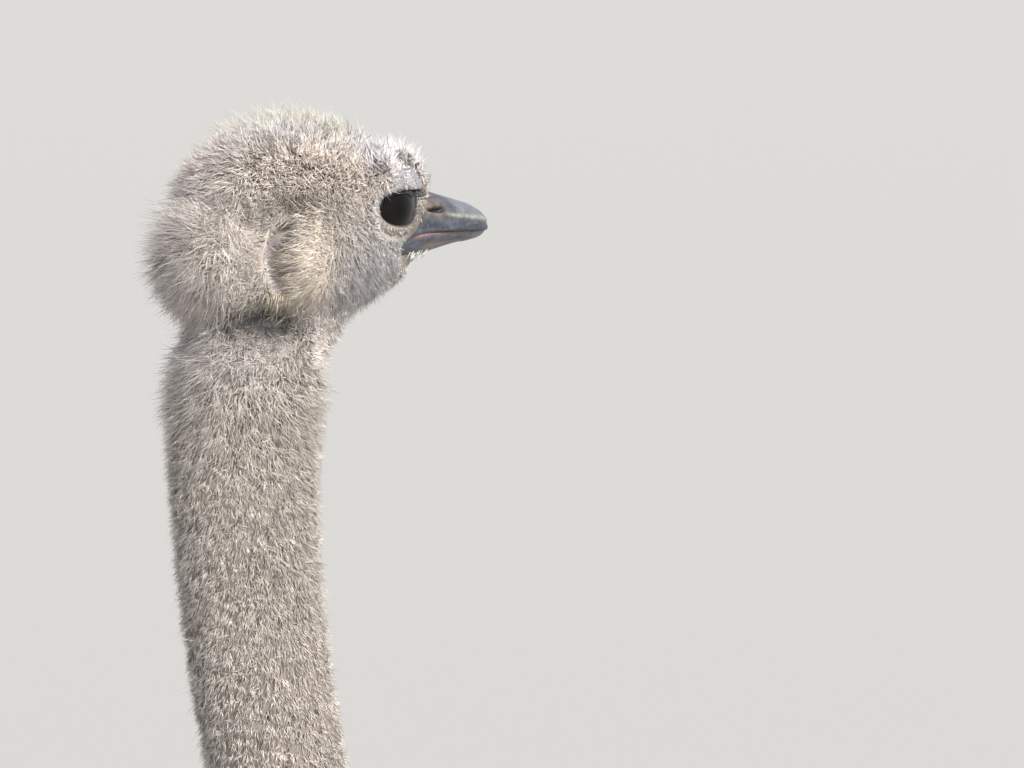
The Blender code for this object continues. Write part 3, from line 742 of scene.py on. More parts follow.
def make_upper_bill():
    """The upper half: plate, nail, an edge with a painted highlight, lip, nostrils and ridge."""
    grid = half_sections(UPPER_BILL, BILL_ROWS, 2.35, False)
    normal = grid_normals(grid)
    x, out, z = grid[..., 0], abs(grid[..., 1]), grid[..., 2]
    flat = np.stack([x, out, z], -1)
    line = shoulder(x)
    arch = np.arange(grid.shape[1])[None, :] < ARC
    plate = ease(z, line - 0.06, line + 0.06) * ease(x, 5.0, 5.9)
    nail = ease(x + 0.25 * out, 7.2, 7.45) * arch
    # The edge is a raised line where plate meets band, and its pale tint is a painted highlight.
    edge = np.exp(-(((z - line) / 0.08) ** 2)) * ease(x, 3.8, 4.8) * ease(x, 8.4, 7.6)
    floor = np.interp(x, *np.array(UPPER_BILL).T[[0, 2]])
    lip = np.exp(-(((z - floor) / 0.16) ** 2)) * arch
    # The nostrils are sunk a little and painted nearly black, as painted shade inside them.
    hole = plateau(flat, 1.5, (NOSTRIL, (0.50, 1.4, 0.10)))
    rim = bump(flat, NOSTRIL + (0.05, 0, 0.22), (0.70, 1.2, 0.14))
    culmen = np.exp(-((out / 0.35) ** 2)) * ease(x, 3.4, 4.4) * (z > line)
    lump = 0.035 * np.sin(9 * x + 3 * out) * np.sin(11 * out + 2 * x) * plate
    move = 0.045 * plate + 0.03 * nail + 0.04 * edge + 0.05 * lip - 0.34 * hole + 0.06 * rim
    move = move + 0.05 * culmen + 0.25 * lump
    move = move * arch * ease(np.arange(BILL_ROWS), 0, 4)[:, None]
    grid = grid + normal * move[..., None]
    bill = closed_loft("bill_upper_horn", grid)
    for name, values in (("plate", plate), ("edge", edge), ("hole", ease(hole, 0.10, 0.40))):
        paint(bill, name, values)
    flesh_at = ease(x + 0.5 * (z - line), 5.6, 3.6) * ease(z, line - 0.55, line + 0.25)
    paint(bill, "flesh", flesh_at)
    return bill


def make_lower_bill():
    """The lower half: lip, nail, side groove, and painted shade on its lower side."""
    grid = half_sections(LOWER_BILL, BILL_ROWS, 2.2, True)
    normal = grid_normals(grid)
    x, out, z = grid[..., 0], abs(grid[..., 1]), grid[..., 2]
    arch = np.arange(grid.shape[1])[None, :] < ARC
    mouth = mouth_line(x)
    lip = np.exp(-(((z - mouth) / 0.13) ** 2)) * arch
    nail = ease(x + 0.2 * out, 7.1, 7.35) * arch
    groove = np.exp(-(((z - mouth + 0.55) / 0.07) ** 2)) * ease(x, 1.5, 3.0) * ease(x, 6.9, 5.4)
    move = (0.05 * lip + 0.03 * nail - 0.05 * groove) * arch
    grid = grid + normal * (move * ease(np.arange(BILL_ROWS), 0, 4)[:, None])[..., None]
    bill = closed_loft("bill_lower_horn", grid)
    rosy = lip * ease(x, 1.2, 2.2) * ease(x, 7.0, 5.8)
    # Painted shade: the lower side of the lower bill is painted brown, stored in its flesh mark.
    shaded = arch * ease(x, 2.2, 3.2) * ease(x, 7.2, 6.0) * ease(z, mouth - 0.35, mouth - 0.60)
    for name, values in (("lip", rosy), ("plate", nail), ("flesh", shaded)):
        paint(bill, name, values)
    return bill


bills = [make_upper_bill(), make_lower_bill()]
print([(bill.name, len(bill.data.polygons)) for bill in bills])

# %% [markdown]
# ## One skin
#
# A Boolean union makes the three parts one mesh. They overlap by a few centimetres where they meet,
# so the union has no sliver to get wrong. The lids join that mesh as they are, with their far edges
# under the skin of the face.

# %% Unite head, body and legs
def united(obj, *others):
    """One closed surface from several that overlap."""
    for other in others:
        modifier = obj.modifiers.new("unite", "BOOLEAN")
        modifier.operation = "UNION"
        modifier.object = other
        modifier.solver = "MANIFOLD"
    settle(obj)
    for other in others:
        bpy.data.objects.remove(other)
    return obj


skin = united(head_part, body_part, leg_part)
skin = joined(skin, *lid_parts)
skin.data.shade_smooth()
skin_triangles = sum(len(p.vertices) - 2 for p in skin.data.polygons)
print("skin:", len(skin.data.vertices), "points,", skin_triangles, "triangles")

# %% [markdown]
# ## Tufts from arrays
#
# Down, plumes, bristles and lashes are all the same thing at different sizes: a thin tapered blade
# with a three-sided section, bent along its length. Whole fields of them are worked out at once as
# arrays, which takes a second where adding faces one by one would take minutes. Each blade carries
# its own small patch on the map called OFBake, placed where its root is on a flattened skin, so
# that a baked texture of the colours has one spot for each tuft.

# %% Blades
PATCH = 0.003  # size of one tuft's patch on the map
MAP_NAME = "OFBake"
BLADE_SHAPE = ((0, 0.25, 0.65, 1), (0.7, 1.0, 0.75, 0))  # places along a blade, and its width there


def surface_of(obj):
    """An object's points, their normals, and its triangles' corners."""
    obj.data.calc_loop_triangles()
    corners = np.empty(len(obj.data.loop_triangles) * 3, np.int32)
    obj.data.loop_triangles.foreach_get("vertices", corners)
    return coordinates(obj.data), vertex_normals(obj.data), corners.reshape(-1, 3)


def scatter(surface, count, density, rng):
    """Random places on a surface, as dense as a function of the place says."""
    points, normals, tris = surface
    a, b, c = (points[tris[:, k]] for k in range(3))
    area = np.linalg.norm(np.cross(b - a, c - a), axis=1)
    weight = area * density((a + b + c) / 3)
    pick = tris[rng.choice(len(tris), size=count, p=weight / weight.sum())]
    u, v = rng.random((2, count))
    over = u + v > 1
    u, v = np.where(over, 1 - u, u)[:, None], np.where(over, 1 - v, v)[:, None]
    share = (1 - u - v, u, v)
    place = sum(points[pick[:, k]] * share[k] for k in range(3))
    normal = sum(normals[pick[:, k]] * share[k] for k in range(3))
    return place, unit(normal)


def blade_faces(knots):
    """For one blade: the corners of its faces, their places on its patch, and each face's size."""
    corners, ends, spans = [], [], []
    last = knots - 2
    for i in range(knots - 1):
        for k in range(3):
            n = (k + 1) % 3
            left, right = k / 2, (n or 3) / 2
            corners += [3 * i + k, 3 * i + n]
            ends += [(left, i), (right, i)]
            if i < last:
                corners += [3 * i + 3 + n, 3 * i + 3 + k]
                ends += [(right, i + 1), (left, i + 1)]
            else:
                corners.append(3 * i + 3)
                ends.append((left + 0.25, i + 1))
            spans.append(4 if i < last else 3)
    corners += [2, 1, 0]
    ends += [(1, 0), (0.5, 0.3), (0, 0)]
    spans.append(3)
    return np.array(corners), (np.array(ends) / (1.5, knots - 1) - 0.5) * PATCH, spans


def blade_points(root, normal, way, length, width, sag, thick, shares):
    """Points of many blades: three on each ring from the root on, and one at the tip."""
    length, width = (np.broadcast_to(v, len(root))[:, None] for v in (length, width))
    side = unit(np.cross(way, normal))
    rings = []
    for t, wide in zip(shares[:-1], np.interp(shares, *BLADE_SHAPE)):
        middle = root + way * length * t + sag * t * t
        along = unit(way * length + 2 * sag * t)
        rise = np.cross(side, along)
        reach = side * width * wide
        rings += [middle - reach, middle + rise * width * wide * thick, middle + reach]
    rings.append(root + way * length + sag)
    return np.stack(rings, 1)


def blades(
    name, root, normal, way, length, width, spots, tone, sag, thick=0.5, knots=3, marks=None
):
    """A mesh of many blades. Each runs its way from its root, bending by sag towards its tip."""
    shares = np.linspace(0, 1, knots)
    points = blade_points(root, normal, way, length, width, sag, thick, shares)
    count, per = points.shape[:2]
    corners, ends, spans = blade_faces(knots)
    mesh = bpy.data.meshes.new(name)
    mesh.vertices.add(count * per)
    mesh.vertices.foreach_set("co", points.astype(np.float32).ravel())
    index = (np.arange(count)[:, None] * per + corners).ravel()
    mesh.loops.add(len(index))
    mesh.loops.foreach_set("vertex_index", index.astype(np.int32))
    mesh.polygons.add(count * len(spans))
    starts = np.concatenate([[0], np.cumsum(np.tile(spans, count))[:-1]])
    mesh.polygons.foreach_set("loop_start", starts.astype(np.int32))
    mesh.update(calc_edges=True)
    layer = mesh.uv_layers.new(name=MAP_NAME, do_init=False)
    flat = spots[:, None, :] + ends
    layer.data.foreach_set("uv", flat.astype(np.float32).ravel())
    obj = bpy.data.objects.new(name, mesh)
    bpy.context.scene.collection.objects.link(obj)
    paint(obj, "tip", np.tile(np.append(np.repeat(shares[:-1], 3), 1.0), count))
    paint(obj, "tone", np.repeat(np.broadcast_to(tone, count), per))
    if marks is not None:
        paint_colour(obj, "marking", np.repeat(marks, per, 0))
    mesh.shade_smooth()
    triangles = count * (sum(spans) - 2 * len(spans))
    print(f"{name}: {count} blades, {triangles} triangles")
    return obj


# %% [markdown]
# ## Down of the head and neck
#
# The head and neck carry short, sparse, hair-like down. It lies back over the crown and down the
# neck, stands up on the crown and the nape, and is shortest round the eyes and bill. Over the ear
# lies a pad of longer tan bristles that point back across the opening. Each of these is a number at
# every place on the skin: a direction, a slant, a length and a density. The head is divided into
# soft-edged zones for that, and a table says what each zone does to each number.

# %% Zones of the head
HEAD_SPOTS = {
    # zone: (middle, radii) of an ellipsoid in the head's centimetres, on both sides alike
    "nape": ((-9.2, 0.8, -2.3), (2.5, 2.8, 3.1)),
    "notch": ((-9.0, 1.2, -0.1), (1.7, 2.4, 1.1)),
    "hind": ((-9.3, 0.0, 1.7), (2.0, 3.5, 1.1)),
    "collar": ((-9.5, 0.6, -7.3), (2.2, 3.2, 2.1)),
    "gullet": ((-5.4, 2.6, -6.7), (2.0, 2.4, 1.5)),
    "forelock": ((2.9, 0.8, 1.9), (1.0, 2.2, 0.9)),
    "jaw": ((2.0, 1.8, -3.3), (2.2, 2.0, 1.0)),
    "cheek": ((-0.8, 3.0, -3.0), (3.2, 2.0, 2.0)),
}
BEHIND_EAR = ((-8.4, 2.2, -2.1), (0.9, 1.6, 2.3))
UNDER_EAR = ((-7.3, 2.4, -5.8), (1.6, 1.8, 0.8))
EAR_PAD = ((-5.7, 3.9, -2.2), (1.35, 1.6, 2.1))


def beside(h):
    """True on the side of the face, where the eye is."""
    return h[:, 0] > -4


def head_zones(points):
    """What belongs to each zone, from 0 to 1, and the points in the head's centimetres."""
    h = to_head(points)
    flat = mirror(h)
    z = points[:, 2]
    round_eye = ease(np.hypot(h[:, 0], h[:, 2]), 2.3, 1.6) * ease(h[:, 2], 0.8, 0.2)
    eye = np.maximum(round_eye, ease(lid_place(h), 1.06, 0.96))
    zone = {name: bump(flat, *spot) for name, spot in HEAD_SPOTS.items()}
    return zone | {
        "head": ease(z, 2.055, 2.085),
        "crown": ease(h[:, 2], 0.0, 3.2) * ease(h[:, 0], 4.2, 2.0),
        "brow": ease(h[:, 0], -3.0, -0.5) * ease(h[:, 2], 1.0, 1.8),
        "by_ear": plateau(flat, 1.5, BEHIND_EAR, UNDER_EAR),
        "pad": plateau(flat, 1.6, EAR_PAD),
        "throat": ease(h[:, 0], -5.2, -2.6) * ease(h[:, 2], -3.2, -5.0),
        "face": ease(h[:, 0], -0.4, 3.0) * ease(z, 2.07, 2.10),
        "eye": eye * ease(flat[:, 1], 1.0, 1.8) * beside(h),
        "h": h,
    }


# %% What each zone does to the lie, slant and length of the down
NECK_LIE = (-0.10, 0.0, -1.0)
DOWN_LIES = (
    # (zone, direction in which its down lies), each over the ones before it
    ("head", (-0.75, 0, -0.5)),
    ("crown", (-0.95, 0, 0.2)),
    ("nape", (-0.75, 0, -0.6)),
    ("hind", (-0.35, 0, -0.95)),
    ("cheek", (-0.20, 0, -1.0)),
    ("jaw", (-0.7, 0, -0.7)),
    ("pad", (-0.95, 0, -0.15)),
    ("by_ear", (-0.95, 0, -0.3)),
    ("brow", (-0.45, 0, 0.9)),
    ("forelock", (0.2, 0, 0.9)),
)
SLANT, EAR_SLANT, FACE_SLANT = 0.85, 0.28, 0.45  # in radians off the skin
SLANT_MORE = (
    # (zone, radians more)
    ("crown", 0.20),
    ("nape", 0.15),
    ("hind", -0.10),
    ("throat", -0.15),
    ("brow", -0.35),
    ("forelock", 0.30),
    ("notch", 0.25),
    ("gullet", 0.2),
)
NECK_LENGTH = (
    (1.35, 1.6, 1.8, 1.9, 2.02, 2.06),  # heights in metres
    (10.0, 7.5, 5.5, 4.8, 5.5, 9.0),  # length of the down there in millimetres
)
LENGTH_MORE = (("nape", 8.0), ("hind", -2.5), ("notch", 14.0), ("gullet", 6.0))  # millimetres
SIDE_LENGTH, BROW_LENGTH, BY_EAR_LENGTH = 6.5, 9.0, 4.0  # millimetres, whatever lay there before


def along_skin(lie, normals):
    """Directions laid flat on the skin."""
    return unit(lie - normals * (lie * normals).sum(-1, keepdims=True) + 1e-4)


# %% Lie, slant, length and density of the down
def down_lie(normals, zone):
    """The direction in which down lies, along the skin."""
    lie = np.tile(np.array(NECK_LIE), (len(normals), 1))
    for key, way in DOWN_LIES:
        lie = lie + (np.array(way) - lie) * zone[key][:, None]
    return along_skin(lie, normals)


def down_slant(zone):
    """How far down stands off the skin, in radians."""
    slant = SLANT
    for key, more in SLANT_MORE:
        slant = slant + more * zone[key]
    slant = slant + (EAR_SLANT - slant) * np.maximum(zone["pad"], zone["by_ear"])
    return slant + (FACE_SLANT - slant) * zone["face"] * 0.8


def down_length(points, zone):
    """Length of the down in metres."""
    h = zone["h"]
    length = np.interp(points[:, 2], *NECK_LENGTH)
    for key, more in LENGTH_MORE:
        length = length + more * zone[key]
    length = length + 2.5 * zone["crown"] * ease(h[:, 0], -3.5, -6.0)
    # The nape is more ruffled on its left side.
    out = np.where(h[:, 1] > 0, h[:, 1] - 1.1, -h[:, 1])
    on_side = zone["head"] * ease(out, 1.2, 2.2) * ease(h[:, 0], -9.5, -8.0)
    on_side = on_side * ease(h[:, 2], 2.2, 1.2)
    length = length + (SIDE_LENGTH - length) * on_side * (1 - zone["brow"]) + 4.5 * zone["pad"]
    at_brow = (BROW_LENGTH - length) * zone["brow"]
    at_ear = (BY_EAR_LENGTH - length) * zone["by_ear"]
    length = length + at_brow + at_ear + 4.0 * zone["forelock"]
    face = zone["face"] * ease(h[:, 2], 2.6, 1.2)
    length = length * (1 - 0.62 * face) * (1 - 0.70 * zone["eye"]) * (1 - 0.15 * zone["throat"])
    length = length - 0.5 * zone["jaw"] + 4.5 * zone["collar"]
    # The pad's bristles end where the ear opens.
    before_ear = (h[:, 0] > EAR_X) & (abs(h[:, 2] - EAR_Z) < 2.2)
    to_ear = np.clip(10.5 * (h[:, 0] - EAR_X - 0.45), 1.0, length)
    return np.where(before_ear, to_ear, length) * MM


def downy_neck(points):
    """1 on the neck and head, 0 where the black feathers grow."""
    above = ease(points[:, 2], FEATHER_LINE - 0.03, FEATHER_LINE + 0.02)
    return above * ease(points[:, 0], NECK_FRONT - 0.03, NECK_FRONT)


def down_density(points):
    """Down at each place, from 0 to 1: least on eye, bill, ear and in the hollow under it."""
    h = to_head(points)
    flat = mirror(h)
    place = lid_place(h)
    on_lid = 0.85 * ease(place, 0.08, 0.20) + 0.15 * ease(place, 1.0, 1.12)
    # The crease is left bare, so that its painted shade shows.
    on_lid = on_lid * (1 - 0.97 * crease_line(h, 0.06))
    density = on_lid ** ((flat[:, 1] > 1.2) & beside(h))
    top, bottom, _ = bill_limits(h[:, 0])
    bill = ease(h[:, 0], 0.3, 1.0) * ease(h[:, 2], top + 0.15, top - 0.05)
    density = density * (1 - bill * (h[:, 2] > bottom + 0.05))
    density = density * (1 - 0.97 * ear_slot(flat, 0.58)) * (1 - 0.9 * ear_rim(flat, 0.15))
    # The hollow under the pad is left nearly bare, so that the painted shade of its skin shows.
    density = density * (1 - 0.90 * plateau(flat, 1.4, ((-6.9, 2.4, -4.9), (1.4, 3.0, 0.65))))
    lores = ease(h[:, 0], 1.6, 2.6) * ease(h[:, 2], -2.6, -1.6) * ease(h[:, 2], 1.5, 0.9)
    return density * (1 - 0.35 * lores) * downy_neck(points)


# %% [markdown]
# ### Markings
#
# Down is nearly white: a little warmer over the ear's pad and behind the eye, cooler on the crown
# and the cheek. In the hollow under the pad and the recess over it the down is painted darker, as
# painted shade. The skin under it is grey-brown, painted nearly black as shade in that hollow
# and along the crease of the lids, and nearly black under the body's feathers. A texture would
# need a flattened skin, so the colours are stored at the points instead: each table lays one
# zone's colour after another over the base.

# %% Markings, the same on skin and down
NECK_DOWN, NECK_SKIN = "#f4ece4", "#7d736d"
DOWN_MARKS = (
    # (zone, colour of the down in it)
    ("head", "#f2ebe7"),
    ("tan", "#f0e6de"),
    ("top", "#e6e6ec"),
    ("brow", "#e9e6e7"),
    ("nape", "#f3ebe5"),
    ("cheek", "#efeef0"),
    ("pad", "#fbf3e9"),
    # Painted shade: the down is darker in the hollow under the ear's pad.
    ("hollow", "#6b6764"),
    # Painted shade: the down is darker in the recess over the ear's pad.
    ("recess", "#8c8179"),
    ("jaw", "#f0ecea"),
    ("eye", "#efecec"),
)
SKIN_MARKS = (
    # (zone, colour of the bare skin in it)
    ("head", "#8f857f"),
    ("lores", "#57504a"),
    ("lid", "#7f7d82"),
    # Painted shade: the crease of the lids is nearly black, as shade in the fold.
    ("crease", "#171413"),
    ("rim", "#2b2422"),
    ("corner", "#85795c"),
    ("chin", "#45403d"),
    ("ear_rim", "#cfc5c0"),
    ("ear", "#8a8587"),
    # Painted shade: the skin in the hollow under the ear's pad is nearly black.
    ("hollow", "#1c1c1e"),
    ("body", "#1b1a1b"),
    ("thigh", "#88746a"),
    ("shank", "#776a5f"),
)


def mixed(points, base, marks, zone):
    """A base colour with each zone's own colour laid over it."""
    tint = np.tile(np.array(colour(base)[:3]), (len(points), 1))
    for key, code in marks:
        tint = tint + (np.array(colour(code)[:3]) - tint) * zone[key][:, None]
    return tint


MARK_SPOTS = {
    # zone: (strength, middle, radii)
    "pad": (1.5, (-6.5, 3.5, -2.2), (1.9, 1.8, 2.1)),
    "tan": (1.5, (-5.6, 3.0, 1.6), (4.2, 3.0, 1.5)),
    # Painted shade goes here: the hollow under the ear's pad.
    "hollow": (1.5, (-6.9, 2.4, -4.9), (1.6, 3.0, 0.85)),
    # Painted shade goes here: the recess over the ear's pad.
    "recess": (1.0, (-6.0, 3.4, 0.3), (1.5, 3.0, 0.50)),
    "lores": (1.5, (2.2, 2.4, -0.9), (1.7, 2.0, 1.5)),
    "corner": (0.8, (-0.3, 3.2, -1.05), (0.30, 1.5, 0.12)),
}


def marking_zones(points):
    """The zones that have a colour of their own, and those painted with shade."""
    zone = head_zones(points)
    h = zone["h"]
    flat = mirror(h)
    side = ease(flat[:, 1], 1.0, 1.8) * beside(h) * zone["head"]
    place = lid_place(h)
    on_lid = side * ease(place, 0.08, 0.25) * ease(place, 1.02, 0.92)
    zone |= {name: plateau(flat, much, spot) for name, (much, *spot) in MARK_SPOTS.items()}
    return zone | {
        "top": ease(h[:, 2], 2.0, 3.4),
        "chin": ease(h[:, 0], 0.8, 2.2) * ease(h[:, 2], -1.6, -2.2) * zone["head"],
        "ear": ear_slot(flat, 0.60),
        "ear_rim": ear_rim(flat, 0.11),
        "lid": on_lid * ease(h[:, 2], -0.3, 0.4),
        # painted shade along the crease of the lids
        "crease": side * crease_line(h, 0.08),
        "rim": side * ease(place, 0.30, 0.02),
    }


def body_tree(*names):
    """A tree that finds the nearest place on some of the solids."""
    bm = bmesh.new()
    for name in names:
        bm.from_mesh(nodes[name].data)
    tree = BVHTree.FromBMesh(bm)
    bm.free()
    return tree


feathered = body_tree("trunk", "wing_left", "wing_right", "neck_5")
unfeathered = body_tree("thigh_left", "thigh_right")


def nearest(tree, points):
    """How far each point is from them."""
    return np.array([tree.find_nearest(Vector(p))[3] for p in points])


def feather_cover(points):
    """1 where black feathers grow, 0 on the neck, the thighs and below."""
    cover = np.zeros(len(points))
    some = (points[:, 2] > 0.70) & (downy_neck(points) < 1)
    difference = nearest(unfeathered, points[some]) - nearest(feathered, points[some])
    cover[some] = ease(difference, -0.012, 0.006)
    return cover * (1 - downy_neck(points))


skin_points = coordinates(skin.data)
skin_zone = marking_zones(skin_points)
skin_zone["body"] = feather_cover(skin_points)
low_leg = ease(skin_points[:, 2], 0.66, 0.50)
skin_zone["thigh"] = ease(skin_points[:, 2], 1.0, 0.95) * (1 - skin_zone["body"])
skin_zone["shank"] = low_leg
paint_colour(skin, "marking", mixed(skin_points, NECK_SKIN, SKIN_MARKS, skin_zone))
paint(skin, "scaly", low_leg)
paint(skin, "wrinkled", skin_zone["lid"] + skin_zone["thigh"] * (1 - low_leg))
paint(skin, "moist", skin_zone["rim"])
print("feathered share of the skin's points:", round(float(skin_zone["body"].mean()), 2))


# %% [markdown]
# ### Growing the down
#
# Down grows in tufts: a few hairs leave one place, lean alike and share a tone, and each of them
# strays a little. So chance is drawn twice, once for the tuft and once for the hair. Pieces are cut
# where their maps change, from the crown to the foot of the neck.

# %% Grow the down
MAP_SHARE, MAP_EDGE = 0.96, 0.02  # the map's used share, and the margin at its edge


def on_map(turn, rise):
    """Places on a flat map from an angle round the piece and a share of the way up it."""
    return np.stack([0.5 + MAP_SHARE * turn / (2 * math.pi), MAP_EDGE + MAP_SHARE * rise], -1)


def head_map(points):
    """Head and throat on a flat map: round the head one way, from crown to throat the other."""
    d = points - (np.array(EYE) + (-0.045, 0, -0.015))
    polar = np.arccos(np.clip(d[:, 2] / np.linalg.norm(d, axis=1), -1, 1)) / math.pi
    return on_map(np.arctan2(d[:, 1], d[:, 0]), polar)


NECK_LINE = np.array([(*(sum(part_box(f"neck_{i}"), Vector()) / 2).xz,) for i in range(5, 0, -1)])


def neck_map(points, low, high):
    """The neck on a flat map: round it one way, up it the other."""
    middle = np.interp(points[:, 2], NECK_LINE[:, 1], NECK_LINE[:, 0])
    turn = np.arctan2(points[:, 1], points[:, 0] - middle)
    return on_map(turn, np.clip((points[:, 2] - low) / (high - low), 0, 1))


def down(name, tufts, region, seed, flat_map, width=0.36, knots=2, per_tuft=4):
    """One piece of down: tufts of a few hairs each, where region allows. Widths are in mm."""
    rng = np.random.default_rng(seed)
    place, normal = scatter(surface, tufts, lambda p: down_density(p) * region(p), rng)
    spots = np.repeat(flat_map(place), per_tuft, 0)
    tone = np.repeat(rng.normal(0, 1, tufts), per_tuft) + rng.normal(0, 0.45, tufts * per_tuft)
    marks = np.repeat(mixed(place, NECK_DOWN, DOWN_MARKS, marking_zones(place)), per_tuft, 0)
    root, normal = np.repeat(place, per_tuft, 0), np.repeat(normal, per_tuft, 0)
    zone = head_zones(root)
    lie = down_lie(normal, zone)
    across = np.cross(normal, lie)
    n = len(root)
    spread = (0.7 - 0.55 * zone["eye"])[:, None] * MM
    root = root + (lie * rng.normal(0, 1, (n, 1)) + across * rng.normal(0, 1, (n, 1))) * spread
    slant = down_slant(zone) + np.repeat(rng.normal(0, 0.20, tufts), per_tuft)
    slant = slant + rng.normal(0, 0.22, n)
    wild = 1 - 0.4 * zone["pad"]
    turn = (np.repeat(rng.normal(0, 0.50, tufts), per_tuft) + rng.normal(0, 0.35, n)) * wild
    flat_way = lie * np.cos(turn)[:, None] + across * np.sin(turn)[:, None]
    slant = np.clip(slant, 0.05, 1.45)[:, None]
    way = flat_way * np.cos(slant) + normal * np.sin(slant)
    reach = down_length(root, zone) * rng.uniform(0.65, 1.2, n)
    sag = (flat_way * 0.20 - normal * 0.15) * reach[:, None]
    sag = sag + rng.normal(0, 0.10, (n, 3)) * reach[:, None]
    root = root - normal * 0.4 * MM
    width = width * MM * rng.uniform(0.7, 1.25, n)
    return blades(name, root, normal, way, reach, width, spots, tone, sag, knots=knots, marks=marks)


surface = surface_of(skin)
DOWN_JOIN = 2.075  # height at which the neck's pieces of down end and the head's begin


def above_brow(p):
    """True on the crown."""
    return to_head(p)[:, 2] > 1.0


def side_of_face(side):
    """The region of one side of the face, under the crown."""
    return lambda p: ~above_brow(p) & (p[:, 1] * side >= 0) & (p[:, 2] > DOWN_JOIN)


def between(low, high):
    """The region between two heights."""
    return lambda p: (p[:, 2] >= low) & (p[:, 2] < high)


coats = [
    down("down_crown", 2400, above_brow, 1, head_map, width=0.32, knots=3),
    down("down_under_crown", 6000, above_brow, 2, head_map, width=0.33),
    down("down_face_left", 5800, side_of_face(1), 3, head_map),
    down("down_face_right", 11000, side_of_face(-1), 4, head_map),
]


# %% [markdown]
# ### Bristles and lashes
#
# Some hairs are longer, stiffer or of another colour than the down round them: the ear's pad and
# its fringe, the white tufts under the chin, loose hairs on the crown and the neck, dark bristles
# in front of the brow, and the lashes, which are feathers too. Each kind is one row of a table.

# %% Bristles of ear, chin, crown and brow, and the lashes
def bristles(name, on, tufts, region, seed, lie, slant, length, width, mark_code, per_tuft=3,
             lean=0.25, knots=3, flat_map=head_map):
    """Longer hairs of one kind: one lie, slant, length in mm and colour for the whole piece."""
    rng = np.random.default_rng(seed)
    place, normal = scatter(on, tufts, region, rng)
    n = tufts * per_tuft
    spots = np.repeat(flat_map(place), per_tuft, 0)
    tone = np.repeat(rng.normal(0, 0.8, tufts), per_tuft) + rng.normal(0, 0.4, n)
    root, normal = np.repeat(place, per_tuft, 0), np.repeat(normal, per_tuft, 0)
    flat = np.broadcast_to(lie(root) if callable(lie) else np.array(lie, float), (n, 3)).copy()
    flat[:, 1] = flat[:, 1] * np.sign(root[:, 1])
    flat = unit(flat - normal * (flat * normal).sum(-1, keepdims=True))
    across = np.cross(normal, flat)
    turn = (np.repeat(rng.normal(0, lean, tufts), per_tuft) + rng.normal(0, lean * 0.6, n))[:, None]
    flat = flat * np.cos(turn) + across * np.sin(turn)
    slant = np.clip(slant + rng.normal(0, 0.15, (n, 1)), 0.05, 1.5)
    way = flat * np.cos(slant) + normal * np.sin(slant)
    reach = length * MM * rng.uniform(0.6, 1.15, n)
    sag = (flat * 0.2 - normal * 0.25 + (0, 0, -0.10)) * reach[:, None]
    sag = sag + rng.normal(0, 0.08, (n, 3)) * reach[:, None]
    root = root - normal * 0.3 * MM + across * rng.normal(0, 0.4 * MM, (n, 1))
    marks = np.tile(np.array(colour(mark_code)[:3]), (n, 1))
    width = width * MM * rng.uniform(0.8, 1.2, n)
    return blades(name, root, normal, way, reach, width, spots, tone, sag, knots=knots, marks=marks)


def ear_cover(p):
    """The front of the ear's pad, where its long bristles are rooted."""
    flat = mirror(to_head(p))
    return bump(flat, (-5.2, 3.6, -2.1), (0.95, 2.0, 1.75)) * (flat[:, 0] > EAR_X + 0.3)


def ear_lie(p):
    """Back over the pad, and bent down round its lower end."""
    h = to_head(p)
    low = ease(h[:, 2], -2.2, -4.2)[:, None]
    return np.array((-1.0, 0, 0.12)) * (1 - low) + np.array((-0.65, 0, -0.80)) * low


def fringe(p):
    """The pad's lower end, whose bristles hang over the hollow below it."""
    flat = mirror(to_head(p))
    return bump(flat, (-6.0, 3.0, -3.95), (1.1, 2.0, 0.40))


def chin(p):
    """The underside of the lower bill's horn."""
    h = to_head(p)
    mouth = mouth_line(h[:, 0])
    return ease(h[:, 0], 3.7, 2.9) * ease(h[:, 2], mouth - 0.62, mouth - 0.85)


def chin_skin(p):
    """The skin under the lower bill."""
    h = to_head(p)
    bottom = bill_limits(h[:, 0])[1]
    under = ease(h[:, 2], bottom + 0.5, bottom + 0.1)
    return ease(h[:, 0], 4.2, 3.4) * ease(h[:, 0], 0.0, 1.0) * under


def crown_top(p):
    """Where the loose long hairs stand."""
    h = to_head(p)
    return ease(h[:, 2], 2.2, 3.2) * ease(h[:, 0], 1.5, -1.0)


def brow_front(p):
    """In front of the brow, over the root of the bill."""
    flat = mirror(to_head(p))
    return bump(flat, (2.7, 1.8, 1.5), (0.7, 1.0, 1.0))


def upper_lid(p):
    """The upper lid, from its edge to its crease."""
    h = to_head(p)
    place = lid_place(h)
    on_lid = ease(place, 0.10, 0.20) * ease(place, 0.97, 0.90) * ease(h[:, 2], 0.1, 0.5)
    return on_lid * ease(abs(h[:, 1]), 1.2, 1.8) * (abs(h[:, 0]) < 4)


def neck_wisps(p):
    """The neck, without its feathered foot."""
    return ease(p[:, 2], 1.48, 1.52) * ease(p[:, 2], 2.07, 2.05) * downy_neck(p)


def neck_flat(low, high):
    """The map of the neck between two heights."""
    return lambda p: neck_map(p, low, high)


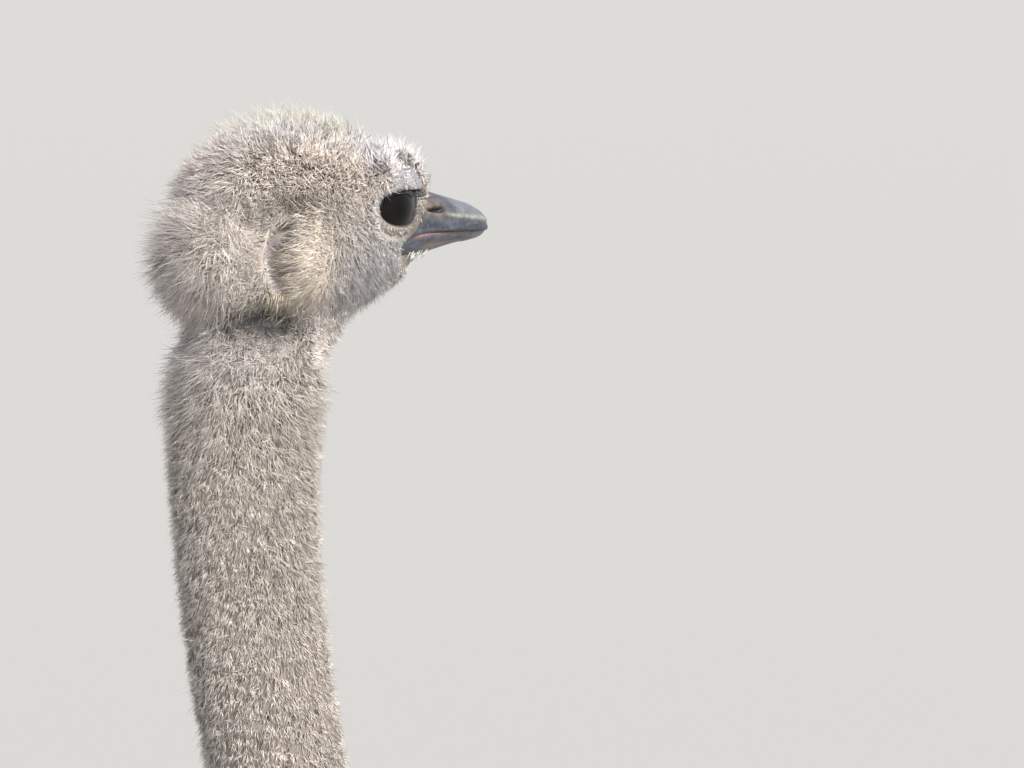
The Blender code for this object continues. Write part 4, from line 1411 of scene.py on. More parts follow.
lower_horn = surface_of(bills[1])
CHIN_LIE, CHIN_WHITE = (-0.4, 0, -0.9), "#f6f4f2"
BRISTLES = (
    # (piece, surface, tufts, region, seed, lie, slant, length and width in mm, colour, the rest)
    ("down_ear", surface, 2300, ear_cover, 21, ear_lie, 0.25, 12.0, 0.20, "#f6ecdf",
     {"lean": 0.38}),
    ("down_ear_fringe", surface, 500, fringe, 22, (-0.45, 0, -0.9), 0.45, 6.5, 0.24, "#e9dfcb",
     {}),
    ("down_chin", lower_horn, 900, chin, 23, CHIN_LIE, 0.50, 5.5, 0.24, CHIN_WHITE,
     {}),
    ("down_chin_skin", surface, 900, chin_skin, 28, CHIN_LIE, 0.60, 7.5, 0.24, CHIN_WHITE,
     {"lean": 0.4}),
    ("down_wisps", surface, 420, crown_top, 24, (-0.9, 0, 0.1), 1.05, 21.0, 0.16, "#e4dfd2",
     {"lean": 0.6, "knots": 4}),
    ("down_brow_bristles", surface, 90, brow_front, 25, (0.9, 0.2, 0.3), 0.75, 8.5, 0.12, "#55504d",
     {"lean": 0.5}),
    ("down_lids", surface, 1300, upper_lid, 30, (0.25, 0, -0.9), 0.45, 2.6, 0.20, "#f1f0f4",
     {"lean": 0.5, "knots": 2}),
)
coats += [bristles(*row, **rest) for *row, rest in BRISTLES]


LASHES, LASH_LENGTH, LASH_BLACK = 150, 6.5, "#14110f"  # for one eye, and in mm


def lashes():
    """Stiff black lashes along the upper lid, in a comb that bends upwards."""
    rng = np.random.default_rng(27)
    parts = []
    for _, side in HANDS:
        angles = np.radians(np.linspace(15, 170, LASHES)) + rng.normal(0, 0.02, LASHES)
        edge, crease = lid_curve(angles)
        reach = edge + crease * 0.06
        x = LID_CENTRE[0] + reach * np.cos(angles)
        z = LID_CENTRE[1] + reach * np.sin(angles)
        root = np.stack([x, side * (ball_surface(x, z) + 0.10), z], -1)
        zero = 0 * x
        out = np.stack([0.45 * np.cos(angles) + 0.35, zero + side, zero - 0.05], -1)
        up = np.stack([zero, zero + side * 0.3, zero + 1], -1)
        parts.append((from_head(root), unit(out) @ HEAD_TURN.T, unit(up)))
    root, way, normal = (np.concatenate(rows) for rows in zip(*parts))
    n = len(root)
    reach = LASH_LENGTH * MM * rng.uniform(0.6, 1.1, n)
    sag = np.array((0, 0, 0.30)) * reach[:, None] + rng.normal(0, 0.05, (n, 3)) * reach[:, None]
    marks = np.tile(np.array(colour(LASH_BLACK)[:3]), (n, 1))
    rest = {"knots": 4, "marks": marks}
    return blades("lashes", root, normal, way, reach, 0.20 * MM, head_map(root), 0.0, sag, **rest)


coats.append(lashes())
coats.append(
    bristles(
        "down_neck_wisps", surface, 700, neck_wisps, 29, (-0.1, 0, -1.0), 0.95, 13.0, 0.14,
        "#ddd6d0", per_tuft=1, lean=0.8, flat_map=neck_flat(1.48, 2.07),
    )
)

# %% Down of the neck
NECK_BANDS = (
    # (low end, high end, tufts), from the head down
    (1.95, DOWN_JOIN, 9000),
    (1.78, 1.95, 8200),
    (1.57, 1.78, 6000),
    (FEATHER_LINE - 0.03, 1.57, 5500),
)
for i, (low, high, tufts) in enumerate(NECK_BANDS):
    width = 0.36 + 0.11 * i  # coarser towards the feathers
    region, flat_map = between(low, high), neck_flat(low, high)
    coats.append(down(f"down_neck_{i + 1}", tufts, region, 11 + i, flat_map, width))

# %% [markdown]
# ## Feathers of the body
#
# An ostrich's body feathers are loose: their barbs don't hook together, so a feather is a bundle of
# soft locks that hangs from one root. Each bundle here is a fan of blades. It leaves the skin at a
# slant, bends over and lies on the next one, backwards on the back and more downwards on the
# flanks.

# %% Bundles of black feathers
BODY_MIDDLE = 1.06  # height of the trunk's middle line
FEATHERS, LOCKS = 1400, 8  # on each side, and in each feather
FEATHER_LENGTH, FEATHER_RISE, LOCK_WIDTH = 0.105, 0.42, 0.0048
WING_OUT = CAD_BOX[1][1] + 0.002  # no tip stands further out to the side than the folded wing


def body_lie(points, normals):
    """Backwards on the back, more downwards on flanks and neck."""
    high = ease(points[:, 2], 1.00, 1.30)[:, None]
    neck = ease(points[:, 0], 0.45, 0.60)[:, None] * ease(points[:, 2], 1.1, 1.2)[:, None]
    lie = np.array((-0.80, 0, -0.60)) * (1 - high) + np.array((-1.0, 0, -0.20)) * high
    lie = lie * (1 - neck) + np.array((-0.35, 0, -0.95)) * neck
    return along_skin(lie, normals)


def body_map(points):
    """The body on a flat map: round it one way, along it the other."""
    turn = np.arctan2(points[:, 1], points[:, 2] - BODY_MIDDLE)
    along = (points[:, 0] - CAD_BOX[0][0]) / (CAD_BOX[1][0] - CAD_BOX[0][0])
    return on_map(turn, np.clip(along, 0, 1))


def bundles(name, count, region, seed):
    """One piece of feathers: each is a fan of locks from one root."""
    rng = np.random.default_rng(seed)
    place, normal = scatter(surface, count, lambda p: region(p) * feather_cover(p), rng)
    locks = LOCKS
    spots = np.repeat(body_map(place), locks, 0)
    tone = np.repeat(rng.normal(0, 1, count), locks) + rng.normal(0, 0.5, count * locks)
    lie = body_lie(place, normal)
    turned = rng.normal(0, 0.20, (count, 1))
    lie = lie * np.cos(turned) + np.cross(normal, lie) * np.sin(turned)
    scale = rng.uniform(0.8, 1.2, (count, 1)) * FEATHER_LENGTH
    small = 1 - 0.25 * ease(place[:, 2:3], 1.18, 1.32)
    rows = (place, normal, lie, scale * small)
    place, normal, lie, scale = (np.repeat(row, locks, 0) for row in rows)
    n = count * locks
    across = np.cross(normal, lie)
    fan = np.tile(np.linspace(-1, 1, locks), count)[:, None] + rng.normal(0, 0.12, (n, 1))
    root = place + across * fan * 0.012 * scale / 0.12 - normal * 0.002
    slant = FEATHER_RISE + rng.normal(0, 0.10, (n, 1))
    way = (lie + across * fan * 0.36) * np.cos(slant) + normal * np.sin(slant)
    reach = scale * (1 - 0.22 * fan**2) * rng.uniform(0.8, 1.15, (n, 1))
    sag = (across * fan * 0.18 - normal * 0.20) * reach + rng.normal(0, 0.07, (n, 3)) * reach
    sag[:, 2:] -= 0.14 * reach
    tip_out = (root + unit(way) * reach + sag)[:, 1:2]
    sag[:, 1:2] -= np.sign(tip_out) * np.maximum(abs(tip_out) - WING_OUT, 0)
    width = LOCK_WIDTH * rng.uniform(0.6, 1.2, n)
    return blades(name, root, normal, unit(way), reach[:, 0], width, spots, tone, sag, thick=0.3)


coats.append(bundles("feathers_left", FEATHERS, lambda p: p[:, 1] >= 0, 31))
coats.append(bundles("feathers_right", FEATHERS, lambda p: p[:, 1] < 0, 32))

# %% [markdown]
# ## White plumes
#
# The plumes of the wings and tail are wide and limp: a thin shaft bends over, and soft barbs hang
# from both of its sides.

# %% Plumes with a shaft and barbs
SHAFT_WIDTH = 0.0026
BARB_LENGTH = ((0, 0.2, 0.7, 1), (0.55, 1.0, 1.0, 0.6))  # places along a shaft, and the share there


def plumes(name, stems, barbs, reach, seed):
    """One mesh of plumes. A stem is (root, way, length, droop), as on the solids."""
    rng = np.random.default_rng(seed)
    rows = []
    up = np.array((0.0, 0.0, 1.0))
    for i, (root, way, length, droop) in enumerate(stems):
        root, way = np.array(root), unit(np.array(way, float))
        side = unit(np.cross(way, up))
        t = rng.uniform(0.04, 1.0, barbs) ** 0.9
        middle = root + way * length * t[:, None] - up * droop * t[:, None] ** 2
        tangent = unit(way * length - 2 * up * droop * t[:, None])
        hand = rng.choice((-1.0, 1.0), barbs)[:, None]
        open_angle = np.radians(54 - 34 * t)[:, None] + rng.normal(0, 0.16, (barbs, 1))
        normal = np.cross(side * hand, tangent) * hand
        barb_way = tangent * np.cos(open_angle) + side * hand * np.sin(open_angle)
        barb_way = unit(barb_way + normal * rng.normal(0.05, 0.30, (barbs, 1)))
        size = reach * np.interp(t, *BARB_LENGTH) * rng.uniform(0.75, 1.15, barbs)
        sag = -up * 0.38 * size[:, None] + rng.normal(0, 0.14, (barbs, 3)) * size[:, None]
        width = rng.uniform(0.0010, 0.0022, barbs)
        tone = rng.normal(0, 1, barbs)
        column = np.full(barbs + 1, (i + 0.5) / len(stems))
        rows.append((
            # the barbs, and after them their shaft
            np.concatenate([middle, [root]]),
            np.concatenate([normal, [np.cross(side, way)]]),
            np.concatenate([barb_way, [way]]),
            np.append(size, length),
            np.append(width, SHAFT_WIDTH),
            np.stack([column, MAP_EDGE + MAP_SHARE * np.append(t, 0.5)], -1),
            np.append(tone, 1.0),
            np.concatenate([sag, [-up * droop]]),
        ))
    return blades(name, *(np.concatenate(column) for column in zip(*rows)), thick=0.35)


TAIL_ROOT, TAIL_SPREAD, TAIL_LENGTH = np.array((-0.50, 0, 1.10)) + SHIFT, 0.75, 0.37
TAIL_PLUMES = 12  # in each of two layers
tail_stems = []
for i in range(2 * TAIL_PLUMES):
    across = 2 * (i % TAIL_PLUMES) / (TAIL_PLUMES - 1) - 1
    layer = i // TAIL_PLUMES
    turn = TAIL_SPREAD * across
    root = TAIL_ROOT + (0.02 * layer, 0.055 * across, 0.018 - 0.015 * abs(across) - 0.035 * layer)
    way = (-math.cos(turn), math.sin(turn), 0.16 - 0.25 * abs(across) - 0.22 * layer)
    length = TAIL_LENGTH - 0.06 - 0.05 * abs(across) + 0.03 * (i % 2)
    tail_stems.append((root, way, length, 0.13 + 0.03 * (i % 3)))
white = [plumes("white_tail", tail_stems, 320, 0.074, 41)]
QUILLS = 9  # in each of two layers, on each side
QUILL_FRONT, QUILL_BACK = np.array((
    # (root, way) of the first and the last quill
    ((-0.22, 0.290, 0.945), (-0.70, 0.06, -0.52)),
    ((-0.44, 0.230, 0.975), (-0.92, -0.10, -0.20)),
))
for k, (hand, side) in enumerate(HANDS):
    stems = []
    for i in range(2 * QUILLS):
        share = (i % QUILLS) / (QUILLS - 1)
        root, way = (1 - share) * QUILL_FRONT + share * QUILL_BACK
        root = root + (0, -0.018 * (i // QUILLS), 0.01)
        mirrored = np.array((1, side, 1))
        stems.append((root * mirrored + SHIFT, way * mirrored, 0.205 + 0.02 * (i % 2), 0.04))
    white.append(plumes(f"white_quills_{hand}", stems, 230, 0.058, 42 + k))

# %% [markdown]
# ## Scutes of shanks and toes
#
# Broad plates of horn overlap like tiles down the front of each shank and along the top of each
# toe. All are one plate at different sizes, so Geometry Nodes make them: a line of points carries
# each plate's turn and size, a box bent over an arc is put on every point, and the result is made a
# plain mesh.

# %% Where each scute lies
skin_tree = BVHTree.FromPolygons([Vector(p) for p in surface[0]], surface[2].tolist())


def reach(start, way):
    """How far the skin is from a point inside it, or 0 where a ray finds none near."""
    place, _, _, far = skin_tree.ray_cast(Vector(start), Vector(way), 0.08)
    return 0.0 if place is None else far


def scute_points(part, axis, out, count, low, high):
    """Rows of (place, turn, size) along a limb: its own axis, and the way its plates face."""
    rows, mesh = [], coordinates(nodes[part].data)
    along_mesh = mesh @ np.array(axis)
    ends = [mesh[abs(along_mesh - np.quantile(along_mesh, q)) < 0.012].mean(0) for q in (low, high)]
    along = unit(ends[1] - ends[0])
    out = unit(np.array(out, float) - along * (np.array(out) @ along))
    side = np.cross(along, out)
    pitch = np.linalg.norm(ends[1] - ends[0]) / count
    for i in range(count):
        place = ends[0] + (ends[1] - ends[0]) * (i + 0.5) / count
        left, right, front, rear = (reach(place, way) for way in (-side, side, out, -out))
        if min(left, right, front, rear) <= 0:
            continue
        place = place + side * (right - left) / 2 + out * (front - rear) / 2
        turn = Matrix((side, along, out)).transposed().to_euler()
        rows.append((place, turn, ((left + right) / 2, pitch, (front + rear) / 2)))
    return rows


DOWNWARD, AHEAD, UPWARD = (0, 0, -1), (1, 0, 0), (0, 0, 1)
SCUTED = (
    # (limb, its axis, the way its plates face, plates, share of the limb's points at each end)
    ("shank", DOWNWARD, AHEAD, 30, 0.22, 0.93),
    ("toe_main", AHEAD, UPWARD, 16, 0.30, 0.92),
    ("toe_outer", AHEAD, UPWARD, 10, 0.35, 0.92),
)
scute_rows = []
for hand, _ in HANDS:
    for limb, *rest in SCUTED:
        scute_rows += scute_points(f"{limb}_{hand}", *rest)
narrowest = min(size[0] for _, _, size in scute_rows)
print("scutes:", len(scute_rows), "of half width", round(narrowest, 4), "m and more")


# %% A tree that puts a bent plate on each point
def scute_tree(material):
    """Geometry Nodes that put one bent plate on every point."""
    tree = bpy.data.node_groups.new("scutes", "GeometryNodeTree")
    tree.interface.new_socket("Points", in_out="INPUT", socket_type="NodeSocketGeometry")
    for name, value in (("Arc", 2.1), ("Thickness", 0.05), ("Lift", 0.06), ("Overlap", 1.25)):
        socket = tree.interface.new_socket(name, in_out="INPUT", socket_type="NodeSocketFloat")
        socket.default_value = value
    tree.interface.new_socket("Scutes", in_out="OUTPUT", socket_type="NodeSocketGeometry")
    given = tree.nodes.new("NodeGroupInput").outputs
    counts = {"Size": (1, 1, 1), "Vertices X": 8, "Vertices Y": 4, "Vertices Z": 2}
    box = add(tree, "GeometryNodeMeshCube", counts)
    place = add(tree, "GeometryNodeInputPosition")
    x, y, z = (add(tree, "ShaderNodeSeparateXYZ", {0: place}, out=k) for k in range(3))
    angle = add(tree, MATH, {0: x, 1: given["Arc"]}, operation="MULTIPLY")
    radius = add(tree, MATH, {0: z, 1: given["Thickness"], 2: 1.0}, operation="MULTIPLY_ADD")
    radius = add(tree, MATH, {0: y, 1: given["Lift"], 2: radius}, operation="MULTIPLY_ADD")
    sine, cosine = (add(tree, MATH, {0: angle}, operation=name) for name in ("SINE", "COSINE"))
    across = add(tree, MATH, {0: sine, 1: radius}, operation="MULTIPLY")
    outward = add(tree, MATH, {0: cosine, 1: radius}, operation="MULTIPLY")
    # Round corners: a plate is longest in its middle.
    taper = add(tree, MATH, {0: x, 1: x}, operation="MULTIPLY")
    taper = add(tree, MATH, {0: taper, 1: -1.4, 2: 1.0}, operation="MULTIPLY_ADD")
    along = add(tree, MATH, {0: y, 1: given["Overlap"]}, operation="MULTIPLY")
    along = add(tree, MATH, {0: along, 1: taper}, operation="MULTIPLY")
    bent = add(tree, "ShaderNodeCombineXYZ", {0: across, 1: along, 2: outward})
    plate = add(tree, "GeometryNodeSetPosition", {"Geometry": box, "Position": bent})
    turn = add(tree, "GeometryNodeInputNamedAttribute", {"Name": "turn"}, data_type="FLOAT_VECTOR")
    size = add(tree, "GeometryNodeInputNamedAttribute", {"Name": "size"}, data_type="FLOAT_VECTOR")
    turn = add(tree, "FunctionNodeEulerToRotation", {0: turn})
    inputs = {"Points": given["Points"], "Instance": plate, "Rotation": turn, "Scale": size}
    made = add(tree, "GeometryNodeInstanceOnPoints", inputs)
    made = add(tree, "GeometryNodeRealizeInstances", {0: made})
    made = add(tree, "GeometryNodeSetMaterial", {"Geometry": made, "Material": material})
    tree.links.new(made, tree.nodes.new("NodeGroupOutput").inputs[0])
    return tree


def grown_scutes(material, thickness, lift):
    """The scutes as a plain mesh. Thickness and lift are shares of a plate's half width."""
    places, turns, sizes = (np.array([tuple(row[k]) for row in scute_rows]) for k in range(3))
    obj = mesh_object("leg_scutes", places, [])
    for name, values in (("turn", turns), ("size", sizes)):
        layer = obj.data.attributes.new(name, "FLOAT_VECTOR", "POINT")
        layer.data.foreach_set("vector", values.ravel())
    modifier = obj.modifiers.new("scutes", "NODES")
    modifier.node_group = scute_tree(material)
    sockets = {item.name: item.identifier for item in modifier.node_group.interface.items_tree}
    modifier[sockets["Thickness"]] = thickness
    modifier[sockets["Lift"]] = lift
    settle(obj)
    for name in ("turn", "size"):
        if name in obj.data.attributes:
            obj.data.attributes.remove(obj.data.attributes[name])
    obj.data.shade_smooth()
    print("scutes:", len(obj.data.polygons), "faces")
    return obj


# %% [markdown]
# ## Materials
#
# Each finish reads the marks stored at its piece's points and the place of the point, and no file.
# Scales of texture are worked out from real sizes in millimetres.

# %% A new finish, and a piece that wears it
PLACE, ATTRIBUTE, NOISE = "ShaderNodeTexCoord", "ShaderNodeAttribute", "ShaderNodeTexNoise"
RANGE, VECTOR, MIX = "ShaderNodeMapRange", "ShaderNodeVectorMath", "ShaderNodeMix"
CELLS, BUMP, GLOSS = "ShaderNodeTexVoronoi", "ShaderNodeBump", "ShaderNodeBsdfPrincipled"
THROUGH, BOTH = "ShaderNodeBsdfTranslucent", "ShaderNodeMixShader"
OUTPUT = "ShaderNodeOutputMaterial"
VALUE, LOW, HIGH, TO_LOW, TO_HIGH = range(5)  # sockets of a Map Range node
SHARE, FIRST, SECOND = 0, 6, 7  # sockets of a Mix node for colours


def new_finish(name):
    """An empty material, and its tree."""
    material = bpy.data.materials.new(name)
    material.use_nodes = True
    material.node_tree.nodes.clear()
    return material, material.node_tree


def cover(obj, material):
    """Gives an object this finish alone."""
    obj.data.materials.clear()
    obj.data.materials.append(material)


# %% [markdown]
# ### Down and feathers
#
# Both are keratin, dry and matt, and so thin that light comes through them. A share of translucent
# shader does that at little cost. Every blade has its own tone, so that a field of them looks
# ruffled and not painted.

# %% Down
def down_finish():
    """Dry hair-like barbs, matt: dark at the root, paler at the tip, some hairs dark all along."""
    material, tree = new_finish("ostrich neck down, dry hair-like barbs")
    tip = add(tree, ATTRIBUTE, out="Fac", attribute_name="tip")
    tone = add(tree, ATTRIBUTE, out="Fac", attribute_name="tone")
    tint = add(tree, ATTRIBUTE, out="Color", attribute_name="marking")
    place = add(tree, PLACE, out="Object")
    patch = add(tree, NOISE, {"Vector": place, "Scale": 1 / (7 * MM)})  # patches 7 mm across
    along = add(tree, RANGE, {VALUE: tip, HIGH: 0.9, TO_LOW: 0.62, TO_HIGH: 1.15})
    own = add(tree, RANGE, {VALUE: tone, LOW: -2.2, HIGH: 2.2, TO_LOW: 0.66, TO_HIGH: 1.28})
    patch = add(tree, RANGE, {VALUE: patch, LOW: 0.3, HIGH: 0.7, TO_LOW: 0.88, TO_HIGH: 1.12})
    amount = add(tree, MATH, {0: along, 1: own}, operation="MULTIPLY")
    amount = add(tree, MATH, {0: amount, 1: patch}, operation="MULTIPLY")
    tint = add(tree, VECTOR, {0: tint, "Scale": amount}, operation="SCALE")
    dark = add(tree, RANGE, {VALUE: tone, LOW: -1.5, HIGH: -1.9, TO_LOW: 0.0, TO_HIGH: 0.75})
    inputs = {SHARE: dark, FIRST: tint, SECOND: colour("#2f2a28")}
    tint = add(tree, MIX, inputs, out=2, data_type="RGBA")
    shader = add(tree, GLOSS, {"Base Color": tint, "Roughness": 0.62, "Specular IOR Level": 0.35})
    through = add(tree, THROUGH, {"Color": tint})
    shader = add(tree, BOTH, {0: 0.30, 1: shader, 2: through})
    add(tree, OUTPUT, {"Surface": shader})
    return material


# %% Body feathers and plumes
def feather_finish(name, dark, pale, tip_tint, rough, sheen, through_share):
    """Loose barbs, each lock of its own tone. Tips: dust on white, painted sheen on black."""
    material, tree = new_finish(name)
    tip = add(tree, ATTRIBUTE, out="Fac", attribute_name="tip")
    tone = add(tree, ATTRIBUTE, out="Fac", attribute_name="tone")
    own = add(tree, RANGE, {VALUE: tone, LOW: -2.0, HIGH: 2.0})
    inputs = {SHARE: own, FIRST: colour(dark), SECOND: colour(pale)}
    tint = add(tree, MIX, inputs, out=2, data_type="RGBA")
    place = add(tree, PLACE, out="Object")
    stretched = add(tree, VECTOR, {0: place, 1: (0.25, 1, 0.6)}, operation="MULTIPLY")
    strand = add(tree, NOISE, {"Vector": stretched, "Scale": 1 / (1.2 * MM), "Detail": 3.0})
    strand = add(tree, RANGE, {VALUE: strand, LOW: 0.35, HIGH: 0.65, TO_LOW: 0.75, TO_HIGH: 1.2})
    tint = add(tree, VECTOR, {0: tint, "Scale": strand}, operation="SCALE")
    # Tip tint: dust on the white plumes, painted brown sheen on the black feathers.
    worn = add(tree, RANGE, {VALUE: tip, LOW: 0.55, TO_HIGH: 0.8})
    inputs = {SHARE: worn, FIRST: tint, SECOND: colour(tip_tint)}
    tint = add(tree, MIX, inputs, out=2, data_type="RGBA")
    inputs = {"Base Color": tint, "Roughness": rough, "Sheen Weight": sheen}
    inputs["Specular IOR Level"] = 0.4
    shader = add(tree, GLOSS, inputs)
    through = add(tree, THROUGH, {"Color": tint})
    shader = add(tree, BOTH, {0: through_share, 1: shader, 2: through})
    add(tree, OUTPUT, {"Surface": shader})
    return material


# %% [markdown]
# ### Skin
#
# Bare skin lets a little light in, which softens it. Its relief is too fine for the mesh: folds on
# the lids, follicles on the thighs, and a net of small scales below the hock, each where its mark
# says.

# %% Skin
def skin_finish():
    """Thin bare skin: fine folds on lids and thighs, a net of small scales from the hock down."""
    material, tree = new_finish("ostrich skin, thin and dry, netted scales on the shanks")
    tint = add(tree, ATTRIBUTE, out="Color", attribute_name="marking")
    scaly = add(tree, ATTRIBUTE, out="Fac", attribute_name="scaly")
    wrinkled = add(tree, ATTRIBUTE, out="Fac", attribute_name="wrinkled")
    moist = add(tree, ATTRIBUTE, out="Fac", attribute_name="moist")
    place = add(tree, PLACE, out="Object")
    fine = add(tree, NOISE, {"Vector": place, "Scale": 1 / (0.9 * MM), "Detail": 3.0})
    blotch = add(tree, NOISE, {"Vector": place, "Scale": 1 / (14 * MM), "Detail": 4.0})
    # Scales of the net are 5.5 mm wide and a little taller.
    squeezed = add(tree, VECTOR, {0: place, 1: (1, 1, 0.8)}, operation="MULTIPLY")
    inputs = {"Vector": squeezed, "Scale": 1 / (5.5 * MM), "Randomness": 0.8}
    net = add(tree, CELLS, inputs, feature="DISTANCE_TO_EDGE")
    gap = add(tree, RANGE, {VALUE: net, HIGH: 0.12, TO_LOW: 0.55, TO_HIGH: 0.0})
    gap = add(tree, MATH, {0: gap, 1: scaly}, operation="MULTIPLY")
    domes = add(tree, RANGE, {VALUE: net, HIGH: 0.25})
    domes = add(tree, MATH, {0: domes, 1: scaly}, operation="MULTIPLY")
    # Follicles stand 9 mm apart on the thighs, and folds run across them and the lids.
    follicles = add(tree, CELLS, {"Vector": place, "Scale": 1 / (9 * MM), "Randomness": 0.7})
    follicles = add(tree, RANGE, {VALUE: follicles, HIGH: 0.30, TO_LOW: 1.0, TO_HIGH: 0.0})
    across = add(tree, VECTOR, {0: place, 1: (0.5, 0.5, 1.6)}, operation="MULTIPLY")
    folds = add(tree, NOISE, {"Vector": across, "Scale": 1 / (2.4 * MM), "Detail": 3.0})
    folds = add(tree, MATH, {0: folds, 1: 0.8, 2: follicles}, operation="MULTIPLY_ADD")
    height = add(tree, MATH, {0: folds, 1: wrinkled, 2: domes}, operation="MULTIPLY_ADD")
    height = add(tree, MATH, {0: fine, 1: 0.12, 2: height}, operation="MULTIPLY_ADD")
    blotch = add(tree, RANGE, {VALUE: blotch, LOW: 0.3, HIGH: 0.7, TO_LOW: 0.84, TO_HIGH: 1.16})
    tint = add(tree, VECTOR, {0: tint, "Scale": blotch}, operation="SCALE")
    inputs = {SHARE: gap, FIRST: tint, SECOND: colour("#5a4c42")}
    tint = add(tree, MIX, inputs, out=2, data_type="RGBA")
    rough = add(tree, RANGE, {VALUE: moist, TO_LOW: 0.62, TO_HIGH: 0.30})
    relief = add(tree, BUMP, {"Height": height, "Distance": 0.8 * MM})
    inputs = {"Base Color": tint, "Roughness": rough, "Normal": relief, "Subsurface Weight": 0.12}
    inputs["Subsurface Radius"] = (0.0030, 0.0014, 0.0008)
    inputs["Subsurface Scale"] = 1.0
    add(tree, OUTPUT, {"Surface": add(tree, GLOSS, inputs)})
    return material


# %% [markdown]
# ### Horn and eyes
#
# Bill, claws and scutes are horn grown in layers: satin, and streaked along their growth where wear
# has scuffed them. The eye is dark and wet, so nearly all that shows of it is one reflection.

# %% Bill
BILL_TINTS = (
    # (mark on the bill's points, its colour there, strength)
    ("plate", "#62626b", 1.0),
    # painted highlight along the edge of the plate
    ("edge", "#9aa08d", 0.6),
    ("lip", "#9a776b", 0.6),
    # the upper bill's fleshy base; on the lower bill, painted shade along its lower side
    ("flesh", "#60544e", 1.0),
    # painted shade inside the nostrils
    ("hole", "#15100e", 1.0),
)


def bill_finish():
    """Slate horn, satin and mottled by wear: a paler plate on top, a darker band on each side."""
    # The edge mark is painted highlight; the hole mark and the lower bill's flesh mark are painted
    # shade.
    material, tree = new_finish("bill horn, slate keratin, worn satin")
    place = add(tree, PLACE, out="Object")
    along = add(tree, VECTOR, {0: place, 1: (0.25, 1, 1)}, operation="MULTIPLY")
    streak = add(tree, NOISE, {"Vector": along, "Scale": 1 / (3 * MM), "Detail": 4.0})
    share = add(tree, RANGE, {VALUE: streak, LOW: 0.3, HIGH: 0.7})
    inputs = {SHARE: share, FIRST: colour("#23262e"), SECOND: colour("#434753")}
    tint = add(tree, MIX, inputs, out=2, data_type="RGBA")
    for name, code, strength in BILL_TINTS:
        mark = add(tree, ATTRIBUTE, out="Fac", attribute_name=name)
        share = add(tree, MATH, {0: mark, 1: strength}, operation="MULTIPLY")
        inputs = {SHARE: share, FIRST: tint, SECOND: colour(code)}
        tint = add(tree, MIX, inputs, out=2, data_type="RGBA")
    inputs = {"Vector": place, "Scale": 1 / (4 * MM), "Detail": 5.0, "Roughness": 0.65}
    mottle = add(tree, NOISE, inputs)
    amount = add(tree, RANGE, {VALUE: mottle, LOW: 0.35, HIGH: 0.65, TO_LOW: 0.62, TO_HIGH: 1.3})
    tint = add(tree, VECTOR, {0: tint, "Scale": amount}, operation="SCALE")
    inputs = {"Vector": along, "Scale": 1 / (1.6 * MM), "Detail": 5.0, "Roughness": 0.7}
    worn = add(tree, NOISE, inputs)
    worn = add(tree, RANGE, {VALUE: worn, LOW: 0.57, HIGH: 0.70, TO_HIGH: 0.5})
    inputs = {SHARE: worn, FIRST: tint, SECOND: colour("#8a8780")}
    tint = add(tree, MIX, inputs, out=2, data_type="RGBA")
    relief = add(tree, BUMP, {"Height": mottle, "Distance": 0.3 * MM})
    rough = add(tree, RANGE, {VALUE: mottle, LOW: 0.3, HIGH: 0.7, TO_LOW: 0.36, TO_HIGH: 0.52})
    shader = add(tree, GLOSS, {"Base Color": tint, "Roughness": rough, "Normal": relief})
    add(tree, OUTPUT, {"Surface": shader})
    return material


# %% Claws, scutes and eyes
def horn_finish(name, dark, pale, grain_mm, rough, depth_mm):
    """Keratin grown in layers and scuffed on the ground: streaks run along the foot."""
    material, tree = new_finish(name)
    place = add(tree, PLACE, out="Object")
    along = add(tree, VECTOR, {0: place, 1: (0.4, 1, 1)}, operation="MULTIPLY")
    scuff = add(tree, NOISE, {"Vector": along, "Scale": 1 / (grain_mm * MM), "Detail": 5.0})
    share = add(tree, RANGE, {VALUE: scuff, LOW: 0.35, HIGH: 0.65})
    inputs = {SHARE: share, FIRST: colour(dark), SECOND: colour(pale)}
    tint = add(tree, MIX, inputs, out=2, data_type="RGBA")
    relief = add(tree, BUMP, {"Height": scuff, "Distance": depth_mm * MM})
    shader = add(tree, GLOSS, {"Base Color": tint, "Roughness": rough, "Normal": relief})
    add(tree, OUTPUT, {"Surface": shader})
    return material


def eye_finish():
    """A nearly black eye under a clear wet cornea, which gives it one sharp small light."""
    material, tree = new_finish("eye, dark brown under a wet cornea")
    ring = add(tree, ATTRIBUTE, out="Fac", attribute_name="iris")
    share = add(tree, RANGE, {VALUE: ring, LOW: 0.50, HIGH: 0.60})
    inputs = {SHARE: share, FIRST: colour("#020202"), SECOND: colour("#0a0605")}
    tint = add(tree, MIX, inputs, out=2, data_type="RGBA")
    inputs = {"Base Color": tint, "Roughness": 0.4, "Specular IOR Level": 0.0}
    inputs |= {"Coat Weight": 1.0, "Coat Roughness": 0.02, "Coat IOR": 1.30}
    add(tree, OUTPUT, {"Surface": add(tree, GLOSS, inputs)})
    return material


def plain_finish(name, code, rough):
    """One colour and one roughness."""
    material, tree = new_finish(name)
    shader = add(tree, GLOSS, {"Base Color": colour(code), "Roughness": rough})
    add(tree, OUTPUT, {"Surface": shader})
    return material


# %% [markdown]
# ## Dressing the bird
#
# Each piece gets its finish. Claws are the solids' own meshes, rounded by subdivision, because
# their shape is already right. The solids that pieces stand for are hidden, every piece rides on
# the root body, and a list pairs each piece with the name of the slot for its finish.

# %% Give each piece its finish and its body, and list the name of its slot
cover(skin, skin_finish())
down_look = down_finish()
